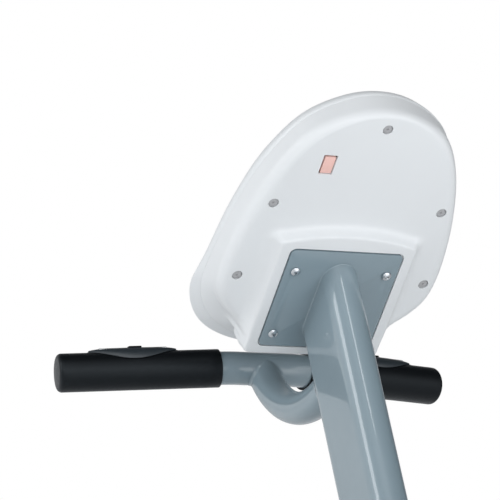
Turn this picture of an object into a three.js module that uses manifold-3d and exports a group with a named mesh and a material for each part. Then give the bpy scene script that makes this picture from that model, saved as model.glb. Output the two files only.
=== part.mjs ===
// Head of an exercise machine: a display console on a leaning flat-oval mast, with a
// fixed handlebar carried by a bent support tube. Millimetres, +Z up, +Y away from the user,
// origin at the centre of the foot flange's underside.
import * as THREE from 'three';
import { mergeVertices } from 'three/addons/utils/BufferGeometryUtils.js';
import Module from 'manifold-3d';

const wasm = await Module();
wasm.setup();

// ---- Driving dimensions -------------------------------------------------------------------

const GAP = 0.3; // clearance kept between pieces that touch
const deg = THREE.MathUtils.degToRad;

// Mast: a flat-oval steel tube that leans towards the user
const MAST_LEAN = deg(25.5);
const MAST_LENGTH = 430; // along the axis, from the flange's underside to the plate
const MAST_DEPTH = 86;
const MAST_WIDTH = 36;
const MAST_WALL = 2;

// Foot flange: the machine's frame bolts under it
const FLANGE = { width: 100, depth: 150, thickness: 8, corner: 12 };
const FLANGE_HOLE = { radius: 4.5, x: 36, y: 60 };
const LEAD_EXIT = { radius: 8, y: 18 };

// Console plate, welded on the mast's top
const PLATE_TILT = deg(46);
const PLATE = { width: 113.5, height: 111.5, thickness: 3, corner: 5 };
const PLATE_RISE = 3; // the plate's centre above the mast's axis
const PLATE_HOLE = { x: 46.5, top: 32, bottom: -41, radius: 2.7 };
const LEAD_HOLE_RADIUS = 8;

// Console: depths measured from the plate's outer face towards the user
const BOSS_FACE = 0.5;
const BACK_FACE = 12;
const FRONT_FACE = 58;
const SHELL_WALL = 2.5;
const PLATE_SEAT = PLATE.thickness + GAP;
const BOSS_FLOOR = 6;
const FLOOR_LEAD_RADIUS = 10;
const RING_POINTS = 44;

// Half outlines [x, height, depth] from the top's middle, down the side, to the bottom's middle
const BACK_FLAT = [
  [0, 199.5, 12], [24, 196, 12], [50, 182, 12], [68, 163, 12], [80, 139, 12],
  [87, 116, 12], [93.5, 87, 12], [99, 59, 12], [102, 30, 12], [102, 9, 12],
  [99, -5, 12], [92, -16, 12], [82, -27, 12], [70, -37, 12], [55, -47, 12],
  [30, -56, 12], [0, -58, 12],
];
const BACK_EDGE = [
  [0, 205, 24], [26, 201, 24], [56, 187, 24], [75, 168, 24], [88, 143.5, 24],
  [97, 119.5, 24], [105, 89, 24], [110, 60, 24], [112.5, 30, 24], [112.3, 9, 25],
  [109.5, -6, 26], [104, -18, 27], [94, -31, 28], [81, -43, 29], [64, -55, 29],
  [35, -66, 29], [0, -70, 29],
];
const PARTING = [
  [0, 206, 38.5], [27, 202, 38.5], [56.5, 187, 38.5], [75.5, 168.5, 38.5], [89.5, 142, 38.5],
  [98.5, 119, 38.5], [106, 88.5, 38.5], [111, 60, 38.5], [113.8, 30, 38.5], [114.3, 8, 41],
  [113.5, -8, 44], [111, -23, 46], [105, -41, 46], [94, -58, 46], [76, -72, 46],
  [44, -84, 46], [0, -88, 46],
];
const FRONT_RIM = [
  [0, 206.5, 40], [27.5, 202.5, 40], [57, 187.5, 40], [76.2, 169, 40.5], [90.3, 142.5, 41],
  [99.5, 119.5, 42], [107, 88.5, 42], [112, 60, 42], [115, 30, 42.5], [116, 8, 46],
  [117, -10, 50.5], [118, -26, 53], [113.5, -45, 53], [101, -66, 53], [80, -82.5, 53],
  [45, -94, 53], [0, -97, 53],
];
const FRONT_FLAT = [
  [0, 186, 58], [24, 182, 58], [46, 170, 58], [62, 155, 58], [75, 132, 58],
  [83, 112, 58], [90, 84, 58], [95, 58, 58], [98, 30, 58], [100, 8, 58],
  [103, -9, 58], [105, -24, 58], [101, -41, 58], [90, -59, 58], [72, -72, 58],
  [41, -82, 58], [0, -85, 58],
];
const BACK_ROUND_STEPS = 3;
const FRONT_ROUND_STEPS = 3;

// Boss that carries the plate: straight sides and bottom, an arched top
const BOSS = { width: 137, bottom: -66, shoulder: 64.5, crown: 73, corner: 9, draft: 2.2 };
const BOSS_WALL = 3;

// Case screws, in wells on the back
const CASE_SCREWS = [[0, 186.5], [85.3, 98.3], [-85.3, 98.3], [95.8, 15], [-95.8, 15]];
const WELL = { radius: 4.95, depth: 3 };
const CASE_HEAD = { radius: 4.5, height: 1.9, recess: 0.8 };
const CASE_SHANK = { radius: 1.7, length: 28 };
const BACK_COLUMN = { radius: 6.5, end: 36 };
const FRONT_POST = { radius: 4.4, start: 36.6, bore: 2, boreEnd: 50 };

// Port in the back
const PORT = { x: 45.8, y: 144.1, width: 13.8, height: 21.2, corner: 0.8, recess: 1.5 };
const PORT_FLANGE = { margin: 2.5, thickness: 2 };
const PORT_BODY_DEPTH = 9;

// Display, board and keys on the user's side
const WINDOW = { y: 116, width: 108, height: 62, corner: 6, lip: 3.5, lipThickness: 1.5 };
const LCD = { width: 98, height: 52, depth: 6 };
const BOARD = { y: 70, width: 136, height: 172, front: 45.6, thickness: 1.6 };
const KEY_XS = [-56, -28, 0, 28, 56];
const KEY = { y: 52, length: 21, width: 12, proud: 1.8, travel: 1, flange: 1.6, stem: 2.4 };
const SWITCH = { size: 6, height: 3.4, plunger: 1.6, plungerHeight: 0.8 };
const BUZZER = { x: 40, y: 15, radius: 6, height: 6.5 };
const HEADER = { y: 8, width: 20, height: 8, depth: 7 };

// Handlebar
const BAR_RADIUS = 16.3;
const BAR_WALL = 2;
const BAR_CENTRE = new THREE.Vector3(0, -157, -52.2); // from the plate's centre
const BAR_STRAIGHT = 26; // where the bend starts
const BAR_BEND = 35; // where the straight lines meet
const BAR_SWEEP = deg(9.5);
const BAR_DROP = deg(2.9);
const BAR_HALF = 198.8; // from the middle to the tube's end, along the bar
const GRIP = { start: 45.2, end: 205.3, radius: 18.7, edge: 4.5 };
const PLUG = { length: 14, flange: 1.5 };

// Support tube, from the bar's middle down and forward in one bend, square into the mast
const SUPPORT_RADIUS = 15.8;
const SUPPORT_START = deg(44.2); // slope below the horizontal where it leaves the bar
const SUPPORT_STRAIGHT = 10;
const SUPPORT_BEND = 121.4;
const SUPPORT_END = MAST_LEAN + deg(90);
const SUPPORT_TAIL = 30;
const WALL_LEAD_RADIUS = 7;

// Pulse sensor on top of each grip
const PAD = { centre: 130, length: 86, reach: deg(54), rise: 4.2, endRise: 1.6 };
const CONTACT = { length: 28, middle: 19, reach: deg(26), thickness: 0.6, from: deg(-14) };

// Leads
const LEAD_RADIUS = 2.5;
const PULSE_LEAD_RADIUS = 1.5;
const PULSE_LEAD_X = 5.6;
const LEAD_SIDES = 6;
const LEAD_PLUG = { width: 12, depth: 9, length: 18, bottom: 14 };

// Plate screws and nuts
const PLATE_SCREW = { head: 4.6, headHeight: 2.8, shank: 2.4, length: 17, socket: 1.6 };
const NUT = { radius: 4.4, height: 4 };

// ---- Materials ----------------------------------------------------------------------------

const finish = (color, roughness, metalness) =>
  () => new THREE.MeshStandardMaterial({ color, roughness, metalness });
const STEEL_PAINT = finish(0x8a9aa4, 0.32, 0.1);
const WHITE_PLASTIC = finish(0xe2e5e8, 0.45, 0);
const GREY_PLASTIC = finish(0xa6a8ab, 0.5, 0);
const BLACK_FOAM = finish(0x202224, 0.75, 0);
const DARK_PLASTIC = finish(0x34383c, 0.45, 0);
const PINK_PLASTIC = finish(0xecbeb4, 0.5, 0);
const SMOKED_WINDOW = finish(0x2c3136, 0.1, 0);
const LCD_GREY = finish(0x9aa694, 0.3, 0);
const BOARD_GREEN = finish(0x1f5a36, 0.5, 0);
const CHROME = finish(0xd8dadc, 0.18, 1);
const STAINLESS = finish(0xb9bcbe, 0.3, 1);
const ZINC = finish(0xa9adb0, 0.4, 1);

// ---- Solids -------------------------------------------------------------------------------

/** Turns a closed geometry into a manifold solid, with an optional placement. */
function solidOf(geometry, matrix) {
  const bare = geometry.index ? geometry.toNonIndexed() : geometry.clone();
  bare.deleteAttribute('normal');
  bare.deleteAttribute('uv');
  if (matrix) bare.applyMatrix4(matrix);
  const merged = mergeVertices(bare, 1e-4);
  return new wasm.Manifold(new wasm.Mesh({
    numProp: 3,
    vertProperties: new Float32Array(merged.attributes.position.array),
    triVerts: new Uint32Array(merged.index.array),
  }));
}

function geometryOf(solid) {
  const mesh = solid.getMesh();
  const geometry = new THREE.BufferGeometry();
  geometry.setAttribute('position', new THREE.BufferAttribute(mesh.vertProperties, 3));
  geometry.setIndex(new THREE.BufferAttribute(mesh.triVerts, 1));
  geometry.computeVertexNormals();
  return geometry;
}

function cut(body, ...tools) {
  return tools.reduce((rest, tool) => rest.subtract(tool), body);
}

function join(...bodies) {
  return bodies.reduce((whole, body) => whole.add(body));
}

const at = (x, y, z) => new THREE.Matrix4().makeTranslation(x, y, z);

/** A disc-ended cylinder along Z from depth z0 to z1. */
function rod(x, y, z0, z1, radius, sides = 16) {
  const geometry = new THREE.CylinderGeometry(radius, radius, z1 - z0, sides);
  geometry.rotateX(Math.PI / 2);
  return solidOf(geometry, at(x, y, (z0 + z1) / 2));
}

function box(x, y, z0, z1, width, height) {
  return solidOf(new THREE.BoxGeometry(width, height, z1 - z0), at(x, y, (z0 + z1) / 2));
}

function roundedRect(width, height, radius) {
  const [w, h] = [width / 2 - radius, height / 2 - radius];
  const shape = new THREE.Shape();
  shape.absarc(w, h, radius, 0, Math.PI / 2);
  shape.absarc(-w, h, radius, Math.PI / 2, Math.PI);
  shape.absarc(-w, -h, radius, Math.PI, 1.5 * Math.PI);
  shape.absarc(w, -h, radius, 1.5 * Math.PI, 2 * Math.PI);
  shape.closePath();
  return shape;
}

function slab(shape, x, y, z0, z1, curveSegments = 4) {
  const settings = { depth: z1 - z0, bevelEnabled: false, curveSegments };
  return solidOf(new THREE.ExtrudeGeometry(shape, settings), at(x, y, z0));
}

function stadium(length, width) {
  const [r, h] = [width / 2, (length - width) / 2];
  const shape = new THREE.Shape();
  shape.absarc(0, h, r, 0, Math.PI);
  shape.absarc(0, -h, r, Math.PI, 2 * Math.PI);
  shape.closePath();
  return shape;
}

/** Cap for a ring that is flat or nearly so when seen along Z. */
function outlineCap(points) {
  const flat = points.map((p) => new THREE.Vector2(p.x, p.y));
  const clockwise = THREE.ShapeUtils.isClockWise(flat);
  return THREE.ShapeUtils.triangulateShape(flat, []).map(([a, b, c]) => {
    const turned = THREE.ShapeUtils.isClockWise([flat[a], flat[b], flat[c]]) !== clockwise;
    return turned ? [a, c, b] : [a, b, c];
  });
}

/** Cap for a ring whose first half faces its second half, as strips between them. */
function stripCap(points) {
  const count = points.length;
  const faces = [];
  for (let j = 0; j + 1 < count / 2; j += 1) {
    faces.push([j, j + 1, count - 2 - j]);
    faces.push([j, count - 2 - j, count - 1 - j]);
  }
  return faces;
}

/** A closed solid through rings of points, with both ends capped. */
function loft(rings, cap = outlineCap) {
  const count = rings[0].length;
  const vertices = rings.flat();
  const last = (rings.length - 1) * count;
  const faces = [
    ...cap(rings[0]).map(([a, b, c]) => [a, c, b]),
    ...cap(rings[rings.length - 1]).map((face) => face.map((i) => i + last)),
  ];
  for (let level = 0; level + 1 < rings.length; level += 1) {
    for (let i = 0; i < count; i += 1) {
      const j = (i + 1) % count;
      const [a, b] = [level * count + i, level * count + j];
      faces.push([a, b, b + count], [a, b + count, a + count]);
    }
  }
  const volume = faces.reduce((sum, [a, b, c]) =>
    sum + vertices[a].dot(new THREE.Vector3().crossVectors(vertices[b], vertices[c])), 0);
  const geometry = new THREE.BufferGeometry().setFromPoints(vertices);
  geometry.setIndex((volume < 0 ? faces.map(([a, b, c]) => [a, c, b]) : faces).flat());
  return solidOf(geometry);
}

/** A smooth closed ring through a half outline and its mirror image. */
function ring(half) {
  const right = half.map(([x, y, z]) => new THREE.Vector3(x, y, z));
  const left = right.slice(1, -1).reverse().map((p) => new THREE.Vector3(-p.x, p.y, p.z));
  const curve = new THREE.CatmullRomCurve3([...right, ...left], true, 'catmullrom', 0.5);
  return Array.from({ length: RING_POINTS }, (_, i) => curve.getPoint(i / RING_POINTS));
}

/** Moves a ring inwards in its plane, and along its depth. */
function inset(points, distance, depth) {
  const count = points.length;
  return points.map((p, i) => {
    const along = points[(i + 1) % count].clone().sub(points[(i + count - 1) % count]);
    const inward = new THREE.Vector3(along.y, -along.x, 0).normalize();
    return p.clone().addScaledVector(inward, distance).add(new THREE.Vector3(0, 0, depth));
  });
}

/** Rings of a quarter-round from an edge ring to a flat ring. */
function roundOver(edge, flat, steps) {
  return Array.from({ length: steps }, (_, k) => {
    const angle = ((k + 1) / steps) * (Math.PI / 2);
    return edge.map((p, i) => new THREE.Vector3(
      THREE.MathUtils.lerp(flat[i].x, p.x, Math.cos(angle)),
      THREE.MathUtils.lerp(flat[i].y, p.y, Math.cos(angle)),
      THREE.MathUtils.lerp(p.z, flat[i].z, Math.sin(angle)),
    ));
  });
}

/** Stations [point, tangent] along joined curves, each cut into its own number of pieces. */
function stationsOf(curves) {
  const first = curves[0][0];
  const stations = [[first.getPoint(0), first.getTangent(0)]];
  curves.forEach(([curve, pieces]) => {
    for (let i = 1; i <= pieces; i += 1) {
      stations.push([curve.getPoint(i / pieces), curve.getTangent(i / pieces)]);
    }
  });
  return stations;
}

/** A round solid rod along stations, with one corner of each ring towards `across`. */
function rodAlong(stations, radius, across, sides) {
  return loft(stations.map(([point, tangent]) => {
    const v = new THREE.Vector3().crossVectors(tangent, across).normalize();
    const u = new THREE.Vector3().crossVectors(v, tangent);
    return Array.from({ length: sides }, (_, i) => {
      const angle = (2 * Math.PI * (i + 0.5)) / sides;
      return point.clone().addScaledVector(u, radius * Math.cos(angle))
        .addScaledVector(v, radius * Math.sin(angle));
    });
  }), stripCap);
}

/** A thin cable along a smooth curve. */
function cable(points, radius, steps) {
  const section = new THREE.Shape().absarc(0, 0, radius, 0, 2 * Math.PI);
  return solidOf(new THREE.ExtrudeGeometry(section, {
    extrudePath: new THREE.CatmullRomCurve3(points),
    steps,
    curveSegments: LEAD_SIDES / 2,
    bevelEnabled: false,
  }));
}

/** A turned piece. The profile may run either way round. */
function lathe(profile, segments = 20) {
  const points = profile.map(([r, h]) => new THREE.Vector2(r, h));
  if (THREE.ShapeUtils.isClockWise(points)) points.reverse();
  return new THREE.LatheGeometry(points, segments);
}

function add(parent, name, shape, material) {
  const mesh = new THREE.Mesh(shape.isBufferGeometry ? shape : geometryOf(shape), material());
  mesh.name = name;
  parent.add(mesh);
  return mesh;
}

// ---- Frames -------------------------------------------------------------------------------

const group = new THREE.Group();

const mastUp = new THREE.Vector3(0, -Math.sin(MAST_LEAN), Math.cos(MAST_LEAN));
const plateUp = new THREE.Vector3(0, Math.cos(PLATE_TILT), Math.sin(PLATE_TILT));
const plateCentre = mastUp.clone().multiplyScalar(MAST_LENGTH).addScaledVector(plateUp, PLATE_RISE);

// Console frame: X across, Y up the plate, Z towards the user
const consoleGroup = new THREE.Group();
consoleGroup.position.copy(plateCentre);
consoleGroup.rotation.x = PLATE_TILT;
consoleGroup.updateMatrixWorld();
group.add(consoleGroup);
const consoleMatrix = consoleGroup.matrixWorld.clone();
const toWorld = (x, y, z) => new THREE.Vector3(x, y, z).applyMatrix4(consoleMatrix);

// Mast frame: Z up the mast's axis, Y across its depth
const mastMatrix = new THREE.Matrix4().makeRotationX(MAST_LEAN);

// ---- Foot flange and mast -----------------------------------------------------------------

const flangeHoles = [[1, 1], [1, -1], [-1, 1], [-1, -1]].map(([sx, sy]) =>
  rod(sx * FLANGE_HOLE.x, sy * FLANGE_HOLE.y, -1, FLANGE.thickness + 1, FLANGE_HOLE.radius));
const leadExit = rod(0, LEAD_EXIT.y, -1, FLANGE.thickness + 1, LEAD_EXIT.radius);
add(group, 'foot_flange', cut(
  slab(roundedRect(FLANGE.width, FLANGE.depth, FLANGE.corner), 0, 0, 0, FLANGE.thickness),
  ...flangeHoles,
  leadExit,
), STEEL_PAINT);

function mastSolid(grow, segments = 8) {
  const shape = stadium(MAST_DEPTH + 2 * grow, MAST_WIDTH + 2 * grow);
  const settings = { depth: MAST_LENGTH * 1.4, bevelEnabled: false, curveSegments: segments };
  const matrix = mastMatrix.clone().multiply(at(0, 0, -MAST_LENGTH * 0.2));
  return solidOf(new THREE.ExtrudeGeometry(shape, settings), matrix);
}

const HUGE = 1200;
const abovePlate = solidOf(
  new THREE.BoxGeometry(HUGE, HUGE, HUGE),
  consoleMatrix.clone().multiply(at(0, 0, HUGE / 2 - GAP)),
);
const belowFlangeTop = box(0, 0, FLANGE.thickness + GAP - HUGE, FLANGE.thickness + GAP, HUGE, HUGE);

// ---- Support tube and handlebar centrelines -----------------------------------------------

const barCentre = plateCentre.clone().add(BAR_CENTRE);
const slope = (angle) => new THREE.Vector3(0, Math.sin(angle), -Math.cos(angle));

const X_AXIS = new THREE.Vector3(1, 0, 0);
const Z_AXIS = new THREE.Vector3(0, 0, 1);
const bendStart = barCentre.clone().addScaledVector(slope(SUPPORT_START), SUPPORT_STRAIGHT);
const bendCentre = bendStart.clone()
  .addScaledVector(slope(SUPPORT_START + Math.PI / 2), SUPPORT_BEND);
const bendPoint = (angle) => bendCentre.clone()
  .addScaledVector(slope(angle + Math.PI / 2), -SUPPORT_BEND);
const BEND_PIECES = 10;
const supportStations = [[barCentre.clone(), slope(SUPPORT_START)]];
for (let i = 0; i <= BEND_PIECES; i += 1) {
  const angle = THREE.MathUtils.lerp(SUPPORT_START, SUPPORT_END, i / BEND_PIECES);
  supportStations.push([bendPoint(angle), slope(angle)]);
}
supportStations.push([
  bendPoint(SUPPORT_END).addScaledVector(slope(SUPPORT_END), SUPPORT_TAIL), slope(SUPPORT_END),
]);

/** Direction of one arm of the handlebar, outwards. */
const armDirection = (side) => new THREE.Vector3(
  side * Math.cos(BAR_SWEEP) * Math.cos(BAR_DROP),
  -Math.sin(BAR_SWEEP) * Math.cos(BAR_DROP),
  -Math.sin(BAR_DROP),
);
const armPoint = (side, distance) => barCentre.clone()
  .add(new THREE.Vector3(side * BAR_BEND, 0, 0))
  .addScaledVector(armDirection(side), distance - BAR_BEND);

const straightEnd = (side) => barCentre.clone().addScaledVector(X_AXIS, side * BAR_STRAIGHT);
const armStart = (side) => armPoint(side, 2 * BAR_BEND - BAR_STRAIGHT);
const barCorner = (side) => barCentre.clone().addScaledVector(X_AXIS, side * BAR_BEND);
const barStations = stationsOf([
  [new THREE.LineCurve3(armPoint(-1, BAR_HALF), armStart(-1)), 1],
  [new THREE.QuadraticBezierCurve3(armStart(-1), barCorner(-1), straightEnd(-1)), 3],
  [new THREE.LineCurve3(straightEnd(-1), straightEnd(1)), 1],
  [new THREE.QuadraticBezierCurve3(straightEnd(1), barCorner(1), armStart(1)), 3],
  [new THREE.LineCurve3(armStart(1), armPoint(1, BAR_HALF)), 1],
]);

const TUBE_SIDES = 20;
const barSolid = (radius) => rodAlong(barStations, radius, Z_AXIS, TUBE_SIDES);
const supportSolid = (radius, sides = TUBE_SIDES) =>
  rodAlong(supportStations, radius, X_AXIS, sides);
const openEnds = [-1, 1].map((side) => rodAlong(
  [[armPoint(side, BAR_HALF - 5), armDirection(side)],
    [armPoint(side, BAR_HALF + 5), armDirection(side)]],
  BAR_RADIUS - BAR_WALL, Z_AXIS, TUBE_SIDES));
const barHole = join(barSolid(BAR_RADIUS - BAR_WALL), ...openEnds);
const leadBore = supportSolid(WALL_LEAD_RADIUS, 10);

add(group, 'mast_tube', cut(
  mastSolid(0),
  mastSolid(-MAST_WALL),
  abovePlate,
  belowFlangeTop,
  leadBore,
), STEEL_PAINT);

add(group, 'handlebar_support', cut(
  supportSolid(SUPPORT_RADIUS),
  supportSolid(SUPPORT_RADIUS - BAR_WALL),
  mastSolid(GAP, 12),
  barSolid(BAR_RADIUS + GAP),
), STEEL_PAINT);

// ---- Handlebar, grips and pulse sensors ---------------------------------------------------

const PAD_LEAD_RADIUS = 2.6;

/** Frame of one arm: Y outwards along the bar, Z upwards. */
function armMatrix(side, distance) {
  const y = armDirection(side);
  const x = new THREE.Vector3().crossVectors(y, new THREE.Vector3(0, 0, 1)).normalize();
  const z = new THREE.Vector3().crossVectors(x, y);
  return new THREE.Matrix4().makeBasis(x, y, z).setPosition(armPoint(side, distance));
}

const leadDrill = (side) => solidOf(
  new THREE.CylinderGeometry(PAD_LEAD_RADIUS, PAD_LEAD_RADIUS, GRIP.radius + 1, 12)
    .rotateX(Math.PI / 2).translate(0, 0, (GRIP.radius + 1) / 2),
  armMatrix(side, PAD.centre),
);
add(group, 'handlebar_tube', cut(
  barSolid(BAR_RADIUS),
  barHole,
  leadBore,
  leadDrill(1),
  leadDrill(-1),
), STEEL_PAINT);

const gripLength = GRIP.end - GRIP.start;
const gripBore = BAR_RADIUS + GAP;
const gripBoreEnd = BAR_HALF + PLUG.flange + 2 * GAP - GRIP.start;
const EDGE_STEPS = 4;
const gripProfile = [[gripBore, 0], [GRIP.radius - 0.6, 0], [GRIP.radius, 0.6]];
for (let i = 0; i <= EDGE_STEPS; i += 1) {
  const angle = (i / EDGE_STEPS) * (Math.PI / 2);
  gripProfile.push([
    GRIP.radius - GRIP.edge * (1 - Math.cos(angle)),
    gripLength - GRIP.edge * (1 - Math.sin(angle)),
  ]);
}
gripProfile.push([0, gripLength], [0, gripBoreEnd], [gripBore, gripBoreEnd], [gripBore, 0]);

const plugRadius = BAR_RADIUS - BAR_WALL - GAP;
const plugProfile = [
  [0, -PLUG.length], [plugRadius - 1, -PLUG.length], [plugRadius, 1 - PLUG.length],
  [plugRadius, GAP], [BAR_RADIUS - 0.4, GAP], [BAR_RADIUS - 0.4, GAP + PLUG.flange],
  [0, GAP + PLUG.flange],
];

/**
 * A curved patch that lies round the bar: `height(u, v)` gives its outer radius, and `half(u)`
 * its half angle, for u along the bar and v round it, both from -1 to 1.
 */
function patch(length, middle, turn, half, innerRadius, height, columns, rows) {
  const point = (u, v, radius) => {
    const angle = turn + v * half(u);
    return new THREE.Vector3(radius * Math.sin(angle), middle + (u * length) / 2,
      radius * Math.cos(angle));
  };
  const rings = [];
  for (let i = 0; i <= columns; i += 1) {
    const u = -1 + (2 * i) / columns;
    const outer = [];
    const inner = [];
    for (let j = 0; j <= rows; j += 1) {
      const v = -1 + (2 * j) / rows;
      outer.push(point(u, v, height(u, v)));
      inner.push(point(u, -v, innerRadius));
    }
    rings.push([...outer, ...inner]);
  }
  return loft(rings, stripCap);
}

const padHalf = (u) => PAD.reach * (0.12 + 0.88 * Math.cos((u * Math.PI) / 2));
const padBase = GRIP.radius - 1;
const gripRound = solidOf(lathe([
  [0, -PAD.length], [GRIP.radius + GAP, -PAD.length], [GRIP.radius + GAP, PAD.length],
  [0, PAD.length],
]));
const padTop = (u, v) => GRIP.radius + PAD.endRise
  + (PAD.rise - PAD.endRise) * Math.cos((u * Math.PI) / 2) * (1 - 0.5 * v * v);
const plateTop = () => GRIP.radius + PAD.rise + CONTACT.thickness;

for (const [label, side] of [['left', 1], ['right', -1]]) {
  const arm = new THREE.Group();
  arm.applyMatrix4(armMatrix(side, GRIP.start));
  group.add(arm);
  add(arm, `grip_${label}`, cut(
    solidOf(lathe(gripProfile)),
    rod(0, 0, 0, GRIP.radius + 1, PAD_LEAD_RADIUS, 12)
      .translate([0, PAD.centre - GRIP.start, 0]),
  ), BLACK_FOAM);

  const end = new THREE.Group();
  end.applyMatrix4(armMatrix(side, BAR_HALF));
  group.add(end);
  add(end, `bar_end_plug_${label}`, lathe(plugProfile), DARK_PLASTIC);

  const sensor = new THREE.Group();
  sensor.applyMatrix4(armMatrix(side, PAD.centre));
  group.add(sensor);
  const lean = -side * CONTACT.from;
  const contact = (offset, grow, floor, top) => patch(
    CONTACT.length + 2 * grow, offset, lean, () => CONTACT.reach + grow / GRIP.radius, floor,
    top, 2, 4);
  const floor = GRIP.radius + 1.2;
  const pad = patch(PAD.length, 0, 0, padHalf, padBase, padTop, 12, 4);
  const seats = [-CONTACT.middle, CONTACT.middle].map((y) =>
    contact(y, GAP, floor - GAP, () => plateTop() + 2));
  add(sensor, `pulse_pad_${label}`, cut(pad, gripRound, ...seats), DARK_PLASTIC);
  [['inner', -1], ['outer', 1]].forEach(([where, way]) => {
    add(sensor, `pulse_contact_${label}_${where}`,
      contact(way * CONTACT.middle, 0, floor, () => floor + 2.6), STAINLESS);
  });
}

// ---- Console plate, screws and nuts -------------------------------------------------------

const plateHoles = [
  [PLATE_HOLE.x, PLATE_HOLE.top], [-PLATE_HOLE.x, PLATE_HOLE.top],
  [PLATE_HOLE.x, PLATE_HOLE.bottom], [-PLATE_HOLE.x, PLATE_HOLE.bottom],
];
const drillPlate = (radius, z0, z1) => plateHoles.map(([x, y]) => rod(x, y, z0, z1, radius, 12));

add(consoleGroup, 'console_plate', cut(
  slab(roundedRect(PLATE.width, PLATE.height, PLATE.corner), 0, 0, 0, PLATE.thickness),
  ...drillPlate(PLATE_HOLE.radius, -1, PLATE.thickness + 1),
  rod(0, -PLATE_RISE, -1, PLATE.thickness + 1, LEAD_HOLE_RADIUS),
), STEEL_PAINT);

const screwProfile = [
  [0, PLATE_SCREW.length], [PLATE_SCREW.shank - 0.5, PLATE_SCREW.length],
  [PLATE_SCREW.shank, PLATE_SCREW.length - 0.6], [PLATE_SCREW.shank, -GAP],
  [PLATE_SCREW.head, -GAP], [PLATE_SCREW.head, -1.3], [PLATE_SCREW.head - 0.9, -2.3],
  [PLATE_SCREW.socket + 0.6, -PLATE_SCREW.headHeight - GAP],
  [PLATE_SCREW.socket, -PLATE_SCREW.headHeight - GAP], [PLATE_SCREW.socket, -1.4], [0, -1.4],
];
plateHoles.forEach(([x, y], i) => {
  const screw = add(consoleGroup, `plate_screw_${i + 1}`,
    lathe(screwProfile, 12).rotateX(Math.PI / 2), CHROME);
  screw.position.set(x, y, 0);
  add(consoleGroup, `plate_nut_${i + 1}`, cut(
    rod(x, y, BOSS_FLOOR + GAP, BOSS_FLOOR + GAP + NUT.height, NUT.radius, 6),
    rod(x, y, 0, BOSS_FLOOR + GAP + NUT.height + 1, PLATE_HOLE.radius, 12),
  ), ZINC);
});

// ---- Back shell ---------------------------------------------------------------------------

/** The boss's outline, grown outwards by `grow`. */
function bossRing(grow, depth) {
  const half = BOSS.width / 2 + grow;
  const r = BOSS.corner + Math.max(grow, -BOSS.corner / 2);
  const bottom = BOSS.bottom - grow;
  const shoulder = BOSS.shoulder + grow;
  const sagitta = BOSS.crown - BOSS.shoulder;
  const arcX = half - r;
  const points = [];
  const CORNER_STEPS = 4;
  const ARCH_STEPS = 12;
  const corner = (cx, cy, from, to) => {
    for (let i = 0; i <= CORNER_STEPS; i += 1) {
      const angle = THREE.MathUtils.lerp(from, to, i / CORNER_STEPS);
      points.push(new THREE.Vector3(cx + r * Math.cos(angle), cy + r * Math.sin(angle), depth));
    }
  };
  corner(arcX, shoulder - r, 0, Math.PI / 2);
  for (let i = 1; i < ARCH_STEPS; i += 1) {
    const x = THREE.MathUtils.lerp(arcX, -arcX, i / ARCH_STEPS);
    points.push(new THREE.Vector3(x, shoulder + sagitta * (1 - (x / arcX) ** 2), depth));
  }
  corner(-arcX, shoulder - r, Math.PI / 2, Math.PI);
  corner(-arcX, bottom + r, Math.PI, 1.5 * Math.PI);
  corner(arcX, bottom + r, 1.5 * Math.PI, 2 * Math.PI);
  return points;
}

const backFlat = ring(BACK_FLAT);
const backEdge = ring(BACK_EDGE);
const parting = ring(PARTING);
const backOuter = loft([parting, backEdge, ...roundOver(backEdge, backFlat, BACK_ROUND_STEPS)]);
const innerFlat = inset(backFlat, SHELL_WALL / 2, SHELL_WALL);
const innerEdge = inset(backEdge, SHELL_WALL, 0);
const innerParting = inset(parting, SHELL_WALL, 0);
const backInner = loft([
  inset(parting, SHELL_WALL, 4), innerParting, innerEdge,
  ...roundOver(innerEdge, innerFlat, BACK_ROUND_STEPS),
]);

const bossBase = BACK_FACE + 1.5;
const bossOuter = loft([
  bossRing(BOSS.draft, bossBase), bossRing(0.4, BOSS_FACE + 1.2), bossRing(-1, BOSS_FACE),
]);
const bossInner = loft([
  bossRing(BOSS.draft - BOSS_WALL, BACK_FACE + 12), bossRing(-BOSS_WALL, BOSS_FLOOR),
]);
const plateSeat = slab(
  roundedRect(PLATE.width + 1.6, PLATE.height + 1.6, PLATE.corner + 0.8), 0, 0, -5, PLATE_SEAT);

// The boss's lower end stands past the shell's edge, so a skirt closes it down to the parting
const bossSkirt = loft([bossRing(BOSS.draft, bossBase), bossRing(BOSS.draft, 30)])
  .intersect(box(0, -60, 0, 60, BOSS.width + 20, 90));
const insideShell = join(backInner, bossInner);

const wells = CASE_SCREWS.map(([x, y]) => rod(x, y, 0, BACK_FACE + WELL.depth, WELL.radius));
const columns = CASE_SCREWS.map(([x, y]) =>
  rod(x, y, BACK_FACE + 1, BACK_COLUMN.end, BACK_COLUMN.radius, 12));
const columnBores = CASE_SCREWS.map(([x, y]) => rod(x, y, 0, BACK_COLUMN.end + 1, 2.3, 8));
const portHole = slab(
  roundedRect(PORT.width, PORT.height, PORT.corner), PORT.x, PORT.y, 0, BACK_FACE + 8, 2);

const backShell = cut(
  join(cut(join(backOuter, bossOuter, bossSkirt), insideShell), ...columns),
  plateSeat,
  ...wells,
  ...columnBores,
  ...drillPlate(PLATE_HOLE.radius, 0, BOSS_FLOOR + 2),
  rod(0, -PLATE_RISE, 0, BOSS_FLOOR + 2, FLOOR_LEAD_RADIUS),
  portHole,
);
add(consoleGroup, 'console_back_shell', backShell, WHITE_PLASTIC);

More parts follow.
